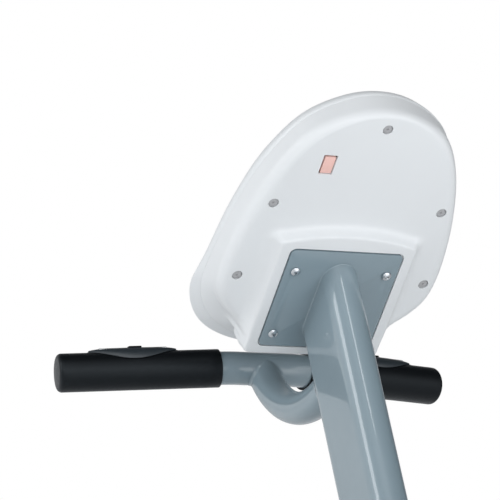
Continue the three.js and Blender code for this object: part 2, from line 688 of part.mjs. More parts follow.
const portInside = BACK_FACE + SHELL_WALL + GAP;
add(consoleGroup, 'port_insert', join(
  slab(roundedRect(PORT.width - 2 * GAP, PORT.height - 2 * GAP, PORT.corner),
    PORT.x, PORT.y, BACK_FACE + PORT.recess, portInside + PORT_BODY_DEPTH, 2),
  box(PORT.x, PORT.y, portInside, portInside + PORT_FLANGE.thickness,
    PORT.width + 2 * PORT_FLANGE.margin, PORT.height + 2 * PORT_FLANGE.margin),
), PINK_PLASTIC);

// ---- Front shell --------------------------------------------------------------------------

const frontJoint = parting.map((p) => p.clone().add(new THREE.Vector3(0, 0, GAP)));
const frontRim = ring(FRONT_RIM);
const frontFlat = ring(FRONT_FLAT);
const frontOuter = loft([frontJoint, frontRim, ...roundOver(frontRim, frontFlat, FRONT_ROUND_STEPS)]);
const innerRim = inset(frontRim, SHELL_WALL, 0);
const frontInner = loft([
  inset(frontJoint, SHELL_WALL, -4), inset(frontJoint, SHELL_WALL, 0), innerRim,
  ...roundOver(innerRim, inset(frontFlat, SHELL_WALL / 2, -SHELL_WALL), FRONT_ROUND_STEPS),
]);
const posts = CASE_SCREWS.map(([x, y]) =>
  rod(x, y, FRONT_POST.start, FRONT_FACE - 1, FRONT_POST.radius, 12));
const postBores = CASE_SCREWS.map(([x, y]) =>
  rod(x, y, 0, FRONT_POST.boreEnd, FRONT_POST.bore, 8));
const windowCut = slab(
  roundedRect(WINDOW.width, WINDOW.height, WINDOW.corner), 0, WINDOW.y, 50, FRONT_FACE + 5);
const keySlot = (x, grow, z0, z1) =>
  slab(stadium(KEY.length + 2 * grow, KEY.width + 2 * grow), 0, 0, z0, z1, 4)
    .rotate([0, 0, 90]).translate([x, KEY.y, 0]);

add(consoleGroup, 'console_front_shell', cut(
  join(cut(frontOuter, frontInner), ...posts),
  ...postBores,
  windowCut,
  ...KEY_XS.map((x) => keySlot(x, GAP, 50, FRONT_FACE + 5)),
), WHITE_PLASTIC);

const insideFront = FRONT_FACE - SHELL_WALL - GAP;
add(consoleGroup, 'display_window', join(
  slab(roundedRect(WINDOW.width - 2 * GAP, WINDOW.height - 2 * GAP, WINDOW.corner - GAP),
    0, WINDOW.y, insideFront - WINDOW.lipThickness, FRONT_FACE - 0.4),
  slab(roundedRect(WINDOW.width + 2 * WINDOW.lip, WINDOW.height + 2 * WINDOW.lip, WINDOW.corner),
    0, WINDOW.y, insideFront - WINDOW.lipThickness, insideFront),
), SMOKED_WINDOW);

// ---- Board, display, keys and switches ----------------------------------------------------

const boardTop = BOARD.front + GAP;
add(consoleGroup, 'main_board',
  box(0, BOARD.y, BOARD.front - BOARD.thickness, BOARD.front, BOARD.width, BOARD.height),
  BOARD_GREEN);
add(consoleGroup, 'lcd_panel',
  slab(roundedRect(LCD.width, LCD.height, 1.5), 0, WINDOW.y, boardTop, boardTop + LCD.depth, 2),
  LCD_GREY);
add(consoleGroup, 'buzzer',
  rod(BUZZER.x, BUZZER.y, boardTop, boardTop + BUZZER.height, BUZZER.radius, 20),
  DARK_PLASTIC);
add(consoleGroup, 'board_header',
  box(0, HEADER.y, BOARD.front - BOARD.thickness - GAP - HEADER.depth,
    BOARD.front - BOARD.thickness - GAP, HEADER.width, HEADER.height),
  DARK_PLASTIC);

const switchTop = boardTop + SWITCH.height + SWITCH.plungerHeight;
const stemEnd = switchTop + KEY.travel + 0.2;
const flangeTop = insideFront;
KEY_XS.forEach((x, i) => {
  add(consoleGroup, `key_${i + 1}`, join(
    keySlot(x, 0, flangeTop - 1.2, FRONT_FACE + KEY.proud - 0.6),
    keySlot(x, -0.7, FRONT_FACE, FRONT_FACE + KEY.proud),
    keySlot(x, KEY.flange, flangeTop - 1.4, flangeTop),
    rod(x, KEY.y, stemEnd, flangeTop - 1, KEY.stem, 12),
  ), GREY_PLASTIC);
  add(consoleGroup, `key_switch_${i + 1}`, join(
    box(x, KEY.y, boardTop, boardTop + SWITCH.height, SWITCH.size, SWITCH.size),
    rod(x, KEY.y, boardTop + 1, switchTop, SWITCH.plunger, 12),
  ), DARK_PLASTIC);
});

// ---- Case screws --------------------------------------------------------------------------

const headFace = BACK_FACE + CASE_HEAD.recess;
const headSeat = BACK_FACE + WELL.depth - GAP;
const caseScrewProfile = [
  [0, headSeat + CASE_SHANK.length], [CASE_SHANK.radius - 0.9, headSeat + CASE_SHANK.length],
  [CASE_SHANK.radius, headSeat + CASE_SHANK.length - 3], [CASE_SHANK.radius, headSeat],
  [CASE_HEAD.radius, headSeat], [CASE_HEAD.radius, headFace + 0.5],
  [CASE_HEAD.radius - 0.6, headFace], [1.4, headFace], [1.4, headFace + 1], [0, headFace + 1],
];
CASE_SCREWS.forEach(([x, y], i) => {
  const screw = add(consoleGroup, `case_screw_${i + 1}`,
    lathe(caseScrewProfile, 12).rotateX(Math.PI / 2), GREY_PLASTIC);
  screw.position.set(x, y, 0);
});

// ---- Leads inside the tubes ---------------------------------------------------------------

const leadTop = BOARD.front - BOARD.thickness - HEADER.depth - 2 * GAP;
const mastPoint = (up, y = 0, x = 0) => new THREE.Vector3(x, y, up).applyMatrix4(mastMatrix);

const plugTop = LEAD_PLUG.bottom + LEAD_PLUG.length + GAP;
const displayLead = [
  toWorld(0, HEADER.y, leadTop), toWorld(0, HEADER.y, leadTop - 12),
  toWorld(0, -PLATE_RISE, 6), toWorld(0, -PLATE_RISE, -8),
  mastPoint(MAST_LENGTH - 60, 8), mastPoint(MAST_LENGTH - 160, 12), mastPoint(150, 10),
  mastPoint(92, 15), new THREE.Vector3(0, LEAD_EXIT.y - 3, plugTop + 14),
  new THREE.Vector3(0, LEAD_EXIT.y - 3, plugTop),
];
add(group, 'display_lead', cable(displayLead, LEAD_RADIUS, 22), DARK_PLASTIC);
add(group, 'lead_plug',
  box(0, LEAD_EXIT.y - 3, LEAD_PLUG.bottom, plugTop - GAP, LEAD_PLUG.width, LEAD_PLUG.depth),
  WHITE_PLASTIC);

// Each pulse lead drops from its pad into the bar, follows the support tube, and climbs the mast
const supportPoint = (station, x) => supportStations[station][0].clone().setX(x);
const barInside = (x, along) => barCentre.clone()
  .addScaledVector(slope(SUPPORT_START), along).setX(x);
for (const [label, side] of [['left', 1], ['right', -1]]) {
  const x = side * PULSE_LEAD_X;
  const arm = (distance, height) => armPoint(side, distance).addScaledVector(Z_AXIS, height);
  const route = [
    arm(PAD.centre, GRIP.radius - 0.5), arm(PAD.centre - 0.3, 9), arm(PAD.centre - 7, 1),
    arm(PAD.centre - 22, -1), arm(80, 0), barInside(side * 28, -1), barInside(side * 9, 3),
    barInside(side * 4, 12), supportPoint(3, side * 3), supportPoint(5, side * 3),
    supportPoint(7, side * 3), supportPoint(9, side * 3), supportPoint(11, side * 3),
    mastPoint(MAST_LENGTH - 62, -10, side * 4), mastPoint(MAST_LENGTH - 36, -5, x),
    toWorld(x, -PLATE_RISE, -8), toWorld(x, -PLATE_RISE, 8),
    toWorld(x, HEADER.y, leadTop - 10), toWorld(x, HEADER.y, leadTop),
  ];
  add(group, `pulse_lead_${label}`, cable(route, PULSE_LEAD_RADIUS, 44), DARK_PLASTIC);
}

export default group;
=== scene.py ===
"""Head of an exercise machine: its looks, built round the CAD nodes.

Driving dimensions are in millimetres, and MM turns them into metres. The console frame has X
across, Y up the plate and Z towards the user, with its origin at the plate's centre.
"""

from math import cos, pi, radians, sin, sqrt

import bmesh
import bpy
import numpy as np
from mathutils import Matrix, Vector


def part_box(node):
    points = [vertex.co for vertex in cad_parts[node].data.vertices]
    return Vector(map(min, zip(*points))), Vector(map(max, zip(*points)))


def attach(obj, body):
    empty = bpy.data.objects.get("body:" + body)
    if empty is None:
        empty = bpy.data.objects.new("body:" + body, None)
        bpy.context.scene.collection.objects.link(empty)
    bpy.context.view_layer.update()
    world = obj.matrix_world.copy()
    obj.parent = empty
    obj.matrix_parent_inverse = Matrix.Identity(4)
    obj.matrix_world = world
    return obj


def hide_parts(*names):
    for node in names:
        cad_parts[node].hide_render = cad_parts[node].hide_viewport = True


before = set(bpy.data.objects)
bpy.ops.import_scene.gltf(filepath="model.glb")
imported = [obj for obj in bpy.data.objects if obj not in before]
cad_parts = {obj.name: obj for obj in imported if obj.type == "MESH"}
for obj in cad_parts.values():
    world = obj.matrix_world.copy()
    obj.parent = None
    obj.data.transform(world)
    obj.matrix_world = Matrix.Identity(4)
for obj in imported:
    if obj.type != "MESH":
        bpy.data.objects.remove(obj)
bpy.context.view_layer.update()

# ---- Driving dimensions --------------------------------------------

MM = 0.001
GAP = 0.3
SEAM = 0.05  # between the console's two shells, where they are screwed together

MAST_LEAN = radians(25.5)
MAST_DEPTH = 86
MAST_WIDTH = 36
MAST_WALL = 2

FLANGE = {"width": 100, "depth": 150, "thickness": 8, "corner": 12}
FLANGE_HOLE = {"radius": 4.5, "x": 36, "y": 60}
LEAD_EXIT = {"radius": 8, "y": 18}

PLATE_TILT = radians(46)
PLATE = {"width": 113.5, "height": 111.5, "thickness": 3, "corner": 5}
PLATE_SCREWS = [(46.5, 32), (-46.5, 32), (46.5, -41), (-46.5, -41)]

# Console depths, from the plate's outer face towards the user
BOSS_FACE = 0.5
BACK_FACE = 12
FRONT_FACE = 58
SHELL_WALL = 2.5
PLATE_SEAT = PLATE["thickness"] + GAP
SEAT_MARGIN = 1.6
BOSS_FLOOR = 6

# Half outlines, from the top's middle down the side to the bottom's middle: (x, height) for
# the two faces, (x, height, depth) for the edges
BACK_FLAT = [
    (0, 199.5), (24, 196), (50, 182), (68, 163), (80, 139), (87, 116), (93.5, 87), (99, 59),
    (102, 30), (102, 9), (99, -5), (92, -16), (82, -27), (70, -37), (55, -47), (30, -56),
    (0, -58),
]
BACK_EDGE = [
    (0, 205, 24), (26, 201, 24), (56, 187, 24), (75, 168, 24), (88, 143.5, 24),
    (97, 119.5, 24), (105, 89, 24), (110, 60, 24), (112.5, 30, 24), (112.3, 9, 25),
    (109.5, -6, 26), (104, -18, 27), (94, -31, 28), (81, -43, 29), (64, -55, 29),
    (35, -66, 29), (0, -70, 29),
]
PARTING = [
    (0, 206, 38.5), (27, 202, 38.5), (56.5, 187, 38.5), (75.5, 168.5, 38.5),
    (89.5, 142, 38.5), (98.5, 119, 38.5), (106, 88.5, 38.5), (111, 60, 38.5),
    (113.8, 30, 38.5), (114.3, 8, 41), (113.5, -8, 44), (111, -23, 46), (105, -41, 46),
    (94, -58, 46), (76, -72, 46), (44, -84, 46), (0, -88, 46),
]
FRONT_RIM = [
    (0, 206.5, 40), (27.5, 202.5, 40), (57, 187.5, 40), (76.2, 169, 40.5),
    (90.3, 142.5, 41), (99.5, 119.5, 42), (107, 88.5, 42), (112, 60, 42), (115, 30, 42.5),
    (116, 8, 46), (117, -10, 50.5), (118, -26, 53), (113.5, -45, 53), (101, -66, 53),
    (80, -82.5, 53), (45, -94, 53), (0, -97, 53),
]
FRONT_FLAT = [
    (0, 186), (24, 182), (46, 170), (62, 155), (75, 132), (83, 112), (90, 84), (95, 58),
    (98, 30), (100, 8), (103, -9), (105, -24), (101, -41), (90, -59), (72, -72), (41, -82),
    (0, -85),
]

# Boss that carries the plate, and the ramps that blend it into the back
BOSS = {"width": 137, "bottom": -66, "shoulder": 64.5, "crown": 73, "corner": 5, "draft": 2.2}
BOSS_WALL = 3
RAMP_SIDE = {"width": 18, "steepness": 3.2}
RAMP_TOP = {"width": 8, "steepness": 3.6}
RAMP_BOTTOM = {"width": 3, "steepness": 1.0}

CASE_SCREWS = [(0, 186.5), (85.3, 98.3), (-85.3, 98.3), (95.8, 15), (-95.8, 15)]
WELL = {"radius": 4.95, "depth": 3}
CASE_HEAD = {"radius": 4.5, "recess": 0.8}

PORT = {"x": 45.8, "y": 144.1, "width": 13.8, "height": 21.2, "corner": 0.8, "recess": 1.5}
WINDOW = {"y": 116, "width": 108, "height": 62, "corner": 6, "lip": 3.5, "lip_thickness": 1.5}
LCD = {"width": 98, "height": 52, "depth": 6}
BOARD = {"y": 70, "width": 136, "height": 172, "front": 45.6, "thickness": 1.6}
KEY_XS = [-56, -28, 0, 28, 56]
KEY = {"y": 52, "length": 21, "width": 12, "proud": 1.8, "flange": 1.6, "stem": 2.4}
SWITCH = {"height": 3.4, "plunger_height": 0.8}
KEY_TRAVEL = 1
KEY_ROUND = 1.2
MARK_DEPTH = 0.35
LEAD_PLUG = {"y": 15, "width": 12, "depth": 9, "length": 18, "bottom": 14}

# Hollows moulded into the front, round the window and round the keys
WINDOW_BED = {"grow": 9, "depth": 0.9, "corner": 12}
KEY_BED = {"width": 142, "height": 27, "corner": 12, "depth": 0.7}

BAR_RADIUS = 16.3
BAR_WALL = 2
BAR_OFFSET = (0, -157, -52.2)  # the bar's middle, from the plate's centre
BAR_STRAIGHT = 26
BAR_BEND = 35
BAR_SWEEP = radians(9.5)
BAR_DROP = radians(2.9)
BAR_HALF = 198.8
GRIP = {"start": 45.2, "end": 205.3, "radius": 18.7, "edge": 4.5}

SUPPORT_RADIUS = 15.8
SUPPORT_START = radians(44.2)
SUPPORT_STRAIGHT = 10
SUPPORT_BEND = 121.4
SUPPORT_END = MAST_LEAN + pi / 2

PAD = {"centre": 130, "length": 86, "reach": radians(54), "rise": 4.2, "end_rise": 1.6}
CONTACT = {"length": 28, "middle": 19, "reach": radians(26), "lean": radians(14),
           "floor": 1.2, "height": 2.6}
# Painted shade: a thin black sheet round each pad, standing in for the shadowed gap at its edge
SHADE_LINE = {"past_end": 1.3, "past_side": 0.055, "rise": 0.25}
RIB = {"width": 9, "length": 12.5, "y": -2.5, "rise": 0.9, "depth": 3}

PLATE_HOLE = 2.7
PLATE_HEAD = {"radius": 4.6, "height": 2.8}

# Camera, from the console's origin
VIEW_AZIMUTH = 154.5
VIEW_ELEVATION = -6
VIEW_DISTANCE = 2.801
VIEW_LENS = 216.8
AIM_RIGHT = -0.0750
AIM_UP = 0.0472

# Soft light round the object: (azimuth, elevation, sharpness, strength) of each glow
LIGHT_COLOR = (0.97, 0.985, 1, 1)
AMBIENT = 0.01
GLOWS = [
    (94, 8, 14, 1.75), (154, 8, 14, 1.8), (184, 8, 14, 1.25), (214, 8, 14, 1.5),
    (154, 32, 9, 1.08), (34, 8, 14, 0.8), (64, 8, 14, 0.62), (345, 5, 9, 1.0),
]
# Painted light: the floor glows by emission, evenly at a low level and in soft pools round the
# object
FLOOR_GLOW_BASE = 0.06
FLOOR_RADIUS = 20  # metres
FLOOR_SIDES = 64
FLOOR_GLOWS = [
    (200, -15, 14, 1.75), (64, -15, 14, 0.85), (20, -15, 14, 0.3), (214, -45, 9, 0.24),
    (154, -45, 9, 0.2), (94, -45, 9, 0.12), (34, -45, 9, 0.08), (320, -20, 9, 0.3),
]

# Point from which the floor's painted glow pools are aimed
GLOW_CENTRE = Vector((0, -180, 350)) * MM
STRIP_CENTRE = Vector((0, -100, 300)) * MM
STRIP_DISTANCE = 3  # metres

# ---- Frames --------------------------------------------------------

X_AXIS = Vector((1, 0, 0))
Z_AXIS = Vector((0, 0, 1))
plate_low, plate_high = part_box("console_plate")
plate_normal = Vector((0, -sin(PLATE_TILT), cos(PLATE_TILT)))
console_origin = (plate_low + plate_high) / 2 - plate_normal * (PLATE["thickness"] / 2 * MM)

WORLD = Matrix.Scale(MM, 4)
CONSOLE = Matrix.Translation(console_origin) @ Matrix.Rotation(PLATE_TILT, 4, "X") @ WORLD
MAST = WORLD @ Matrix.Rotation(MAST_LEAN, 4, "X")

# ---- Camera --------------------------------------------------------


def heading(azimuth, elevation):
    """Unit vector from the object towards an azimuth and elevation in degrees."""
    a, e = radians(azimuth), radians(elevation)
    return Vector((sin(a) * cos(e), -cos(a) * cos(e), sin(e)))


def make_camera():
    back = heading(VIEW_AZIMUTH, VIEW_ELEVATION)
    right = heading(VIEW_AZIMUTH + 90, 0)
    up = back.cross(right)
    data = bpy.data.cameras.new("camera")
    data.lens = VIEW_LENS
    data.clip_end = 100
    camera = bpy.data.objects.new("camera", data)
    camera.location = console_origin + back * VIEW_DISTANCE
    aim = console_origin + right * AIM_RIGHT + up * AIM_UP
    camera.rotation_mode = "QUATERNION"
    camera.rotation_quaternion = (aim - camera.location).to_track_quat("-Z", "Y")
    bpy.context.scene.collection.objects.link(camera)
    bpy.context.scene.camera = camera


make_camera()

# ---- Materials -----------------------------------------------------


def set_inputs(node, values):
    for socket, value in values.items():
        node.inputs[socket].default_value = value


class Finish:
    """A Principled material with node-made variation in colour, roughness and surface."""

    def __init__(self, name, color, roughness, metallic=0.0, coat=0.0, coat_roughness=0.05):
        self.material = bpy.data.materials.new(name)
        self.material.use_nodes = True
        self.nodes = self.material.node_tree.nodes
        self.links = self.material.node_tree.links
        self.shader = self.nodes["Principled BSDF"]
        self.color = color
        self.roughness = roughness
        set_inputs(self.shader, {
            "Base Color": (*color, 1), "Roughness": roughness, "Metallic": metallic,
            "Coat Weight": coat, "Coat Roughness": coat_roughness,
        })
        self.place = self.nodes.new("ShaderNodeTexCoord").outputs["Object"]
        self.height = None

    def noise(self, scale, detail=2.0, roughness=0.5, stretch=(1, 1, 1)):
        """Noise with features of about 1 / scale metres."""
        mapping = self.nodes.new("ShaderNodeMapping")
        set_inputs(mapping, {"Scale": stretch})
        self.links.new(self.place, mapping.inputs["Vector"])
        texture = self.nodes.new("ShaderNodeTexNoise")
        set_inputs(texture, {"Scale": scale, "Detail": detail, "Roughness": roughness})
        self.links.new(mapping.outputs["Vector"], texture.inputs["Vector"])
        return texture.outputs["Fac"]

    def spread(self, value, low, high):
        """Maps a noise value from its usual range to the range low to high."""
        ramp = self.nodes.new("ShaderNodeMapRange")
        set_inputs(ramp, {"From Min": 0.3, "From Max": 0.7, "To Min": low, "To Max": high})
        self.links.new(value, ramp.inputs["Value"])
        return ramp.outputs["Result"]

    def tint(self, value, amount):
        """Darkens and lightens the base colour by up to amount."""
        mix = self.nodes.new("ShaderNodeMix")
        mix.data_type = "RGBA"
        set_inputs(mix, {"A": (*(c * (1 - amount) for c in self.color), 1),
                         "B": (*(min(c * (1 + amount), 1) for c in self.color), 1)})
        self.links.new(self.spread(value, 0, 1), mix.inputs["Factor"])
        self.links.new(mix.outputs["Result"], self.shader.inputs["Base Color"])
        return self

    def gloss(self, value, amount):
        """Varies the roughness by up to amount."""
        spread = self.spread(value, self.roughness - amount, self.roughness + amount)
        self.links.new(spread, self.shader.inputs["Roughness"])
        return self

    def bump(self, value, depth):
        """Raises the surface by up to depth metres where value is high."""
        bump = self.nodes.new("ShaderNodeBump")
        set_inputs(bump, {"Distance": depth})
        self.links.new(value, bump.inputs["Height"])
        if self.height:
            self.links.new(self.height, bump.inputs["Normal"])
        self.height = bump.outputs["Normal"]
        self.links.new(self.height, self.shader.inputs["Normal"])
        return self


def moulded(name, color, roughness, grain=0.00002, coat=0.0):
    """Injection-moulded plastic: a fine spark-eroded grain and faint flow marks."""
    made = Finish(name, color, roughness, coat=coat, coat_roughness=0.2)
    made.tint(made.noise(9, 3), 0.018)
    made.gloss(made.noise(60, 3), 0.04)
    return made.bump(made.noise(2600, 2), grain).material


def painted(name, color, roughness, coat):
    """Powder-coated steel: orange peel, cloudy tone and a clear gloss."""
    made = Finish(name, color, roughness, coat=coat, coat_roughness=0.05)
    made.tint(made.noise(14, 4), 0.03)
    made.gloss(made.noise(90, 3), 0.03)
    made.bump(made.noise(420, 1.5), 0.000005)
    return made.bump(made.noise(2400, 1), 0.000003).material


def turned(name, color, roughness, brush=(1, 1, 1)):
    """Bare or plated metal with fine brush marks."""
    made = Finish(name, color, roughness, metallic=1.0)
    made.tint(made.noise(120, 3), 0.04)
    made.gloss(made.noise(900, 3, stretch=brush), 0.05)
    return made.bump(made.noise(3000, 2, stretch=brush), 0.000004).material


def rubber(name, color, roughness, shine):
    """Black grip foam: a pebbled skin with a soft sheen."""
    made = Finish(name, color, roughness)
    set_inputs(made.shader, {
        "Specular IOR Level": shine, "Specular Tint": (0.82, 0.92, 1, 1),
        "Sheen Weight": 0.04, "Sheen Roughness": 0.45, "Sheen Tint": (0.62, 0.72, 0.85, 1),
    })
    made.tint(made.noise(40, 3), 0.12)
    made.gloss(made.noise(300, 3), 0.05)
    made.bump(made.noise(1400, 3, 0.6), 0.00006)
    return made.bump(made.noise(140, 2), 0.00004).material


def clear(name, color, roughness):
    """Tinted clear plastic with faint scuffs."""
    made = Finish(name, color, roughness)
    set_inputs(made.shader, {"Transmission Weight": 0.92, "IOR": 1.49})
    made.gloss(made.noise(200, 4), 0.03)
    return made.tint(made.noise(30, 2), 0.03).material


def circuit_board(name, color, roughness):
    """Solder mask over fine copper tracks."""
    made = Finish(name, color, roughness, coat=0.5)
    made.tint(made.noise(420, 0, stretch=(1, 0.08, 1)), 0.3)
    return made.bump(made.noise(420, 0, stretch=(1, 0.08, 1)), 0.00003).material


STEEL = painted("steel_paint", (0.218, 0.289, 0.330), 0.38, 1.0)
WHITE = moulded("white_plastic", (0.765, 0.785, 0.80), 0.42)
PORT_PINK = moulded("port_plastic", (0.90, 0.57, 0.51), 0.55)
SCREW_GREY = moulded("screw_grey", (0.40, 0.40, 0.41), 0.6)
KEY_GREY = moulded("key_plastic", (0.36, 0.39, 0.42), 0.5)
DARK = moulded("dark_plastic", (0.032, 0.036, 0.041), 0.42, 0.00004)
PAD_DARK = moulded("pad_plastic", (0.027, 0.035, 0.042), 0.36, 0.00004)
FOAM = rubber("grip_foam", (0.003, 0.0038, 0.0048), 0.40, 0.27)
# Black of the pads' ribs, also used for the painted shade line round the pads
RIB_AND_SHADE_BLACK = rubber("rib_and_shade_black", (0.002, 0.0022, 0.0025), 0.7, 0.05)
CHROME = turned("chrome", (0.70, 0.73, 0.76), 0.17)
STAINLESS = turned("stainless", (0.58, 0.60, 0.61), 0.26, (1, 14, 1))
ZINC = turned("zinc", (0.55, 0.56, 0.57), 0.38)
SMOKED = clear("smoked_acrylic", (0.80, 0.83, 0.85), 0.04)
LCD_GREEN = moulded("lcd_glass", (0.27, 0.32, 0.25), 0.22, coat=0.6)
BOARD_GREEN = circuit_board("solder_mask", (0.02, 0.13, 0.055), 0.35)
NYLON = moulded("nylon", (0.68, 0.67, 0.62), 0.45)

# ---- Mesh building -------------------------------------------------


def piece(name, points, faces):
    """A mesh object from points in a frame in millimetres."""
    mesh = bpy.data.meshes.new(name)
    mesh.from_pydata([tuple(p) for p in points], [], faces)
    mesh.validate()
    made = bpy.data.objects.new(name, mesh)
    bpy.context.scene.collection.objects.link(made)
    outward(made)
    return made


def outward(made):
    """Turns a closed mesh's faces outwards."""
    work = bmesh.new()
    work.from_mesh(made.data)
    bmesh.ops.recalc_face_normals(work, faces=work.faces)
    work.to_mesh(made.data)
    work.free()


def fit(made, material, matrix=CONSOLE, sharp=40, body="frame"):
    """
    Moves a mesh in millimetres to its place and gives it a finish. The piece rides on a body
    and gets that finish as its one material. NODE_look replaces the CAD node NODE, where there is
    one.
    """
    made.data.transform(matrix)
    made.data.shade_smooth()
    made.data.set_sharp_from_angle(angle=radians(sharp))
    made.data.materials.clear()
    made.data.materials.append(material)
    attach(made, body)
    node = made.name.removesuffix("_look")
    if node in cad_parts:
        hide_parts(node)


def loft(rings, closed=False):
    """Points and faces of a skin through rings, capped at both ends or joined end to start."""
    count = len(rings[0])
    points = [p for ring in rings for p in ring]
    faces = []
    levels = len(rings) if closed else len(rings) - 1
    for level in range(levels):
        base, above = level * count, (level + 1) % len(rings) * count
        for i in range(count):
            j = (i + 1) % count
            faces.append((base + i, base + j, above + j, above + i))
    if not closed:
        faces.append(tuple(reversed(range(count))))
        faces.append(tuple(range(len(points) - count, len(points))))
    return points, faces


def baked(made):
    """Applies an object's modifiers to its mesh."""
    graph = bpy.context.evaluated_depsgraph_get()
    mesh = bpy.data.meshes.new_from_object(made.evaluated_get(graph))
    made.modifiers.clear()
    made.data = mesh
    return made


def remove(*objects):
    for unwanted in objects:
        bpy.data.objects.remove(unwanted)


def carve(made, *tools):
    """Cuts tools out of a mesh and deletes them."""
    for tool in tools:
        modifier = made.modifiers.new("cut", "BOOLEAN")
        modifier.operation = "DIFFERENCE"
        modifier.solver = "MANIFOLD"
        modifier.object = tool
        baked(made)
    remove(*tools)
    return made


def united(name, first, *others):
    """One solid from several that overlap."""
    for other in others:
        modifier = first.modifiers.new("join", "BOOLEAN")
        modifier.operation = "UNION"
        modifier.solver = "MANIFOLD"
        modifier.object = other
        baked(first)
    remove(*others)
    first.name = name
    return first


def remeshed(made, size, smoothing):
    """Rebuilds a mesh as one even skin and softens it."""
    modifier = made.modifiers.new("skin", "REMESH")
    modifier.mode = "VOXEL"
    modifier.voxel_size = size
    if smoothing:
        soften = made.modifiers.new("soften", "SMOOTH")
        soften.factor = 0.5
        soften.iterations = smoothing
    return baked(made)


def join_meshes(name, *parts):
    """One object that holds the meshes of several."""
    points, faces = [], []
    for part in parts:
        first = len(points)
        points += [v.co.copy() for v in part.data.vertices]
        faces += [tuple(first + i for i in face.vertices) for face in part.data.polygons]
    remove(*parts)
    return piece(name, points, faces)


def bevelled(made, width, segments=3, angle=30):
    modifier = made.modifiers.new("bevel", "BEVEL")
    modifier.width = width
    modifier.segments = segments
    modifier.limit_method = "ANGLE"
    modifier.angle_limit = radians(angle)
    modifier.miter_outer = "MITER_ARC"
    return baked(made)


def arc(cx, cy, radius, start, end, steps):
    """Points on an arc, both ends included."""
    angles = [start + (end - start) * i / steps for i in range(steps + 1)]
    return [(cx + radius * cos(a), cy + radius * sin(a)) for a in angles]


def rect(w, h):
    """Corners of a rectangle with half sides w and h."""
    return [(w, h), (-w, h), (-w, -h), (w, -h)]


def rounded_rect(width, height, radius, steps=8):
    return [p for k, (x, y) in enumerate(rect(width / 2 - radius, height / 2 - radius))
            for p in arc(x, y, radius, k * pi / 2, (k + 1) * pi / 2, steps)]


def stadium(length, width, steps=24):
    """Upright stadium: two half circles joined by straight sides."""
    h = (length - width) / 2
    return arc(0, h, width / 2, 0, pi, steps) + arc(0, -h, width / 2, pi, 2 * pi, steps)


def circle(radius, sides=48):
    return [(radius * cos(2 * pi * i / sides), radius * sin(2 * pi * i / sides))
            for i in range(sides)]


def at_depth(outline, depth):
    return [(x, y, depth) for x, y in outline]


def prism(name, outline, x, y, z0, z1):
    """A straight-sided solid on an outline, from depth z0 to z1."""
    rings = [[(x + px, y + py, z) for px, py in outline] for z in (z0, z1)]
    return piece(name, *loft(rings))


def lathed(profile, sides=48):
    """Points and faces of a turned solid about Y, from (radius, height) pairs."""
    return loft([[(x, h, z) for x, z in circle(r, sides)] for r, h in profile])


def frames_along(centres, across):
    """A pair of unit vectors square to a line at each of its points."""
    pairs = []
    for i in range(len(centres)):
        ahead = centres[min(i + 1, len(centres) - 1)]
        tangent = (ahead - centres[max(i - 1, 0)]).normalized()
        v = tangent.cross(across).normalized()
        pairs.append((v.cross(tangent), v))
    return pairs


def pipe(centres, across, radius, sides=64):
    """Rings of a round pipe along a line of points."""
    return [
        [c + u * radius * cos(2 * pi * i / sides) + v * radius * sin(2 * pi * i / sides)
         for i in range(sides)]
        for c, (u, v) in zip(centres, frames_along(centres, across))
    ]


def steel_tube(name, outer, inner, matrix=WORLD):
    """A tube: an outer skin, an inner skin and the two annular ends."""
    fit(piece(name, *loft(outer + inner[::-1], closed=True)), STEEL, matrix)


WELD_LEG = {"top": 1.0, "foot": 3.6, "support": 2.6}
WELD_STEPS = 6
RIPPLE_PITCH = 2.4
RIPPLE = 0.05


def weld(name, joint, leg, matrix=WORLD):
    """A fillet weld round a closed joint: (point, way along the wall, way along the face)."""
    rings = []
    run = 0
    for i, (point, wall, face) in enumerate(joint):
        run += (point - joint[i - 1][0]).length
        size = leg * (1 + RIPPLE * abs(sin(pi * run / RIPPLE_PITCH)))
        hub = point + (wall + face) * size
        ring = [point - (wall + face) * 0.4]
        for k in range(WELD_STEPS + 1):
            turn = pi / 2 * k / WELD_STEPS
            ring.append(hub - face * size * cos(turn) - wall * size * sin(turn))
        rings.append(ring)
    fit(piece(name, *loft(rings, closed=True)), STEEL, matrix, 50)


# ---- Foot flange and mast ------------------------------------------


def mast_ring(grow, height_of, segments=32):
    """Ring of the mast's outline where each generator meets a surface."""
    outline = stadium(MAST_DEPTH + 2 * grow, MAST_WIDTH + 2 * grow, segments)
    return [Vector((x, y, height_of(x, y))) for x, y in outline]


def at_flange(rise=0.0):
    """Height along the mast's axis where a generator reaches a level above the flange."""
    level = FLANGE["thickness"] + rise
    return lambda x, y: (level - y * sin(MAST_LEAN)) / cos(MAST_LEAN)


def at_plate(fall=0.0):
    """Height along the mast's axis where a generator reaches the plate's outer face."""
    console_from_mast = CONSOLE.inverted() @ MAST
    base = console_from_mast @ Vector((0, 0, 0))
    across = (console_from_mast @ Vector((0, 1, 0))) - base
    along = (console_from_mast @ Vector((0, 0, 1))) - base
    return lambda x, y: (-fall - base.z - across.z * y) / along.z


def make_flange():
    body = prism("foot_flange_look", rounded_rect(
        FLANGE["width"], FLANGE["depth"], FLANGE["corner"], 12), 0, 0, 0, FLANGE["thickness"])
    tools = [prism("hole", circle(FLANGE_HOLE["radius"]), sx * FLANGE_HOLE["x"],
                   sy * FLANGE_HOLE["y"], -1, FLANGE["thickness"] + 1)
             for sx in (-1, 1) for sy in (-1, 1)]
    tools.append(prism("exit", circle(LEAD_EXIT["radius"]), 0, LEAD_EXIT["y"], -1,
                       FLANGE["thickness"] + 1))
    bevelled(carve(body, *tools), 0.8, 3)
    fit(body, STEEL, WORLD)


def make_mast():
    levels = 40
    foot, top = at_flange(GAP), at_plate(GAP)

    def rings(grow):
        return [mast_ring(grow, lambda x, y: foot(x, y) + (top(x, y) - foot(x, y)) * k / levels)
                for k in range(levels + 1)]

    steel_tube("mast_tube_look", rings(0), rings(-MAST_WALL), MAST)


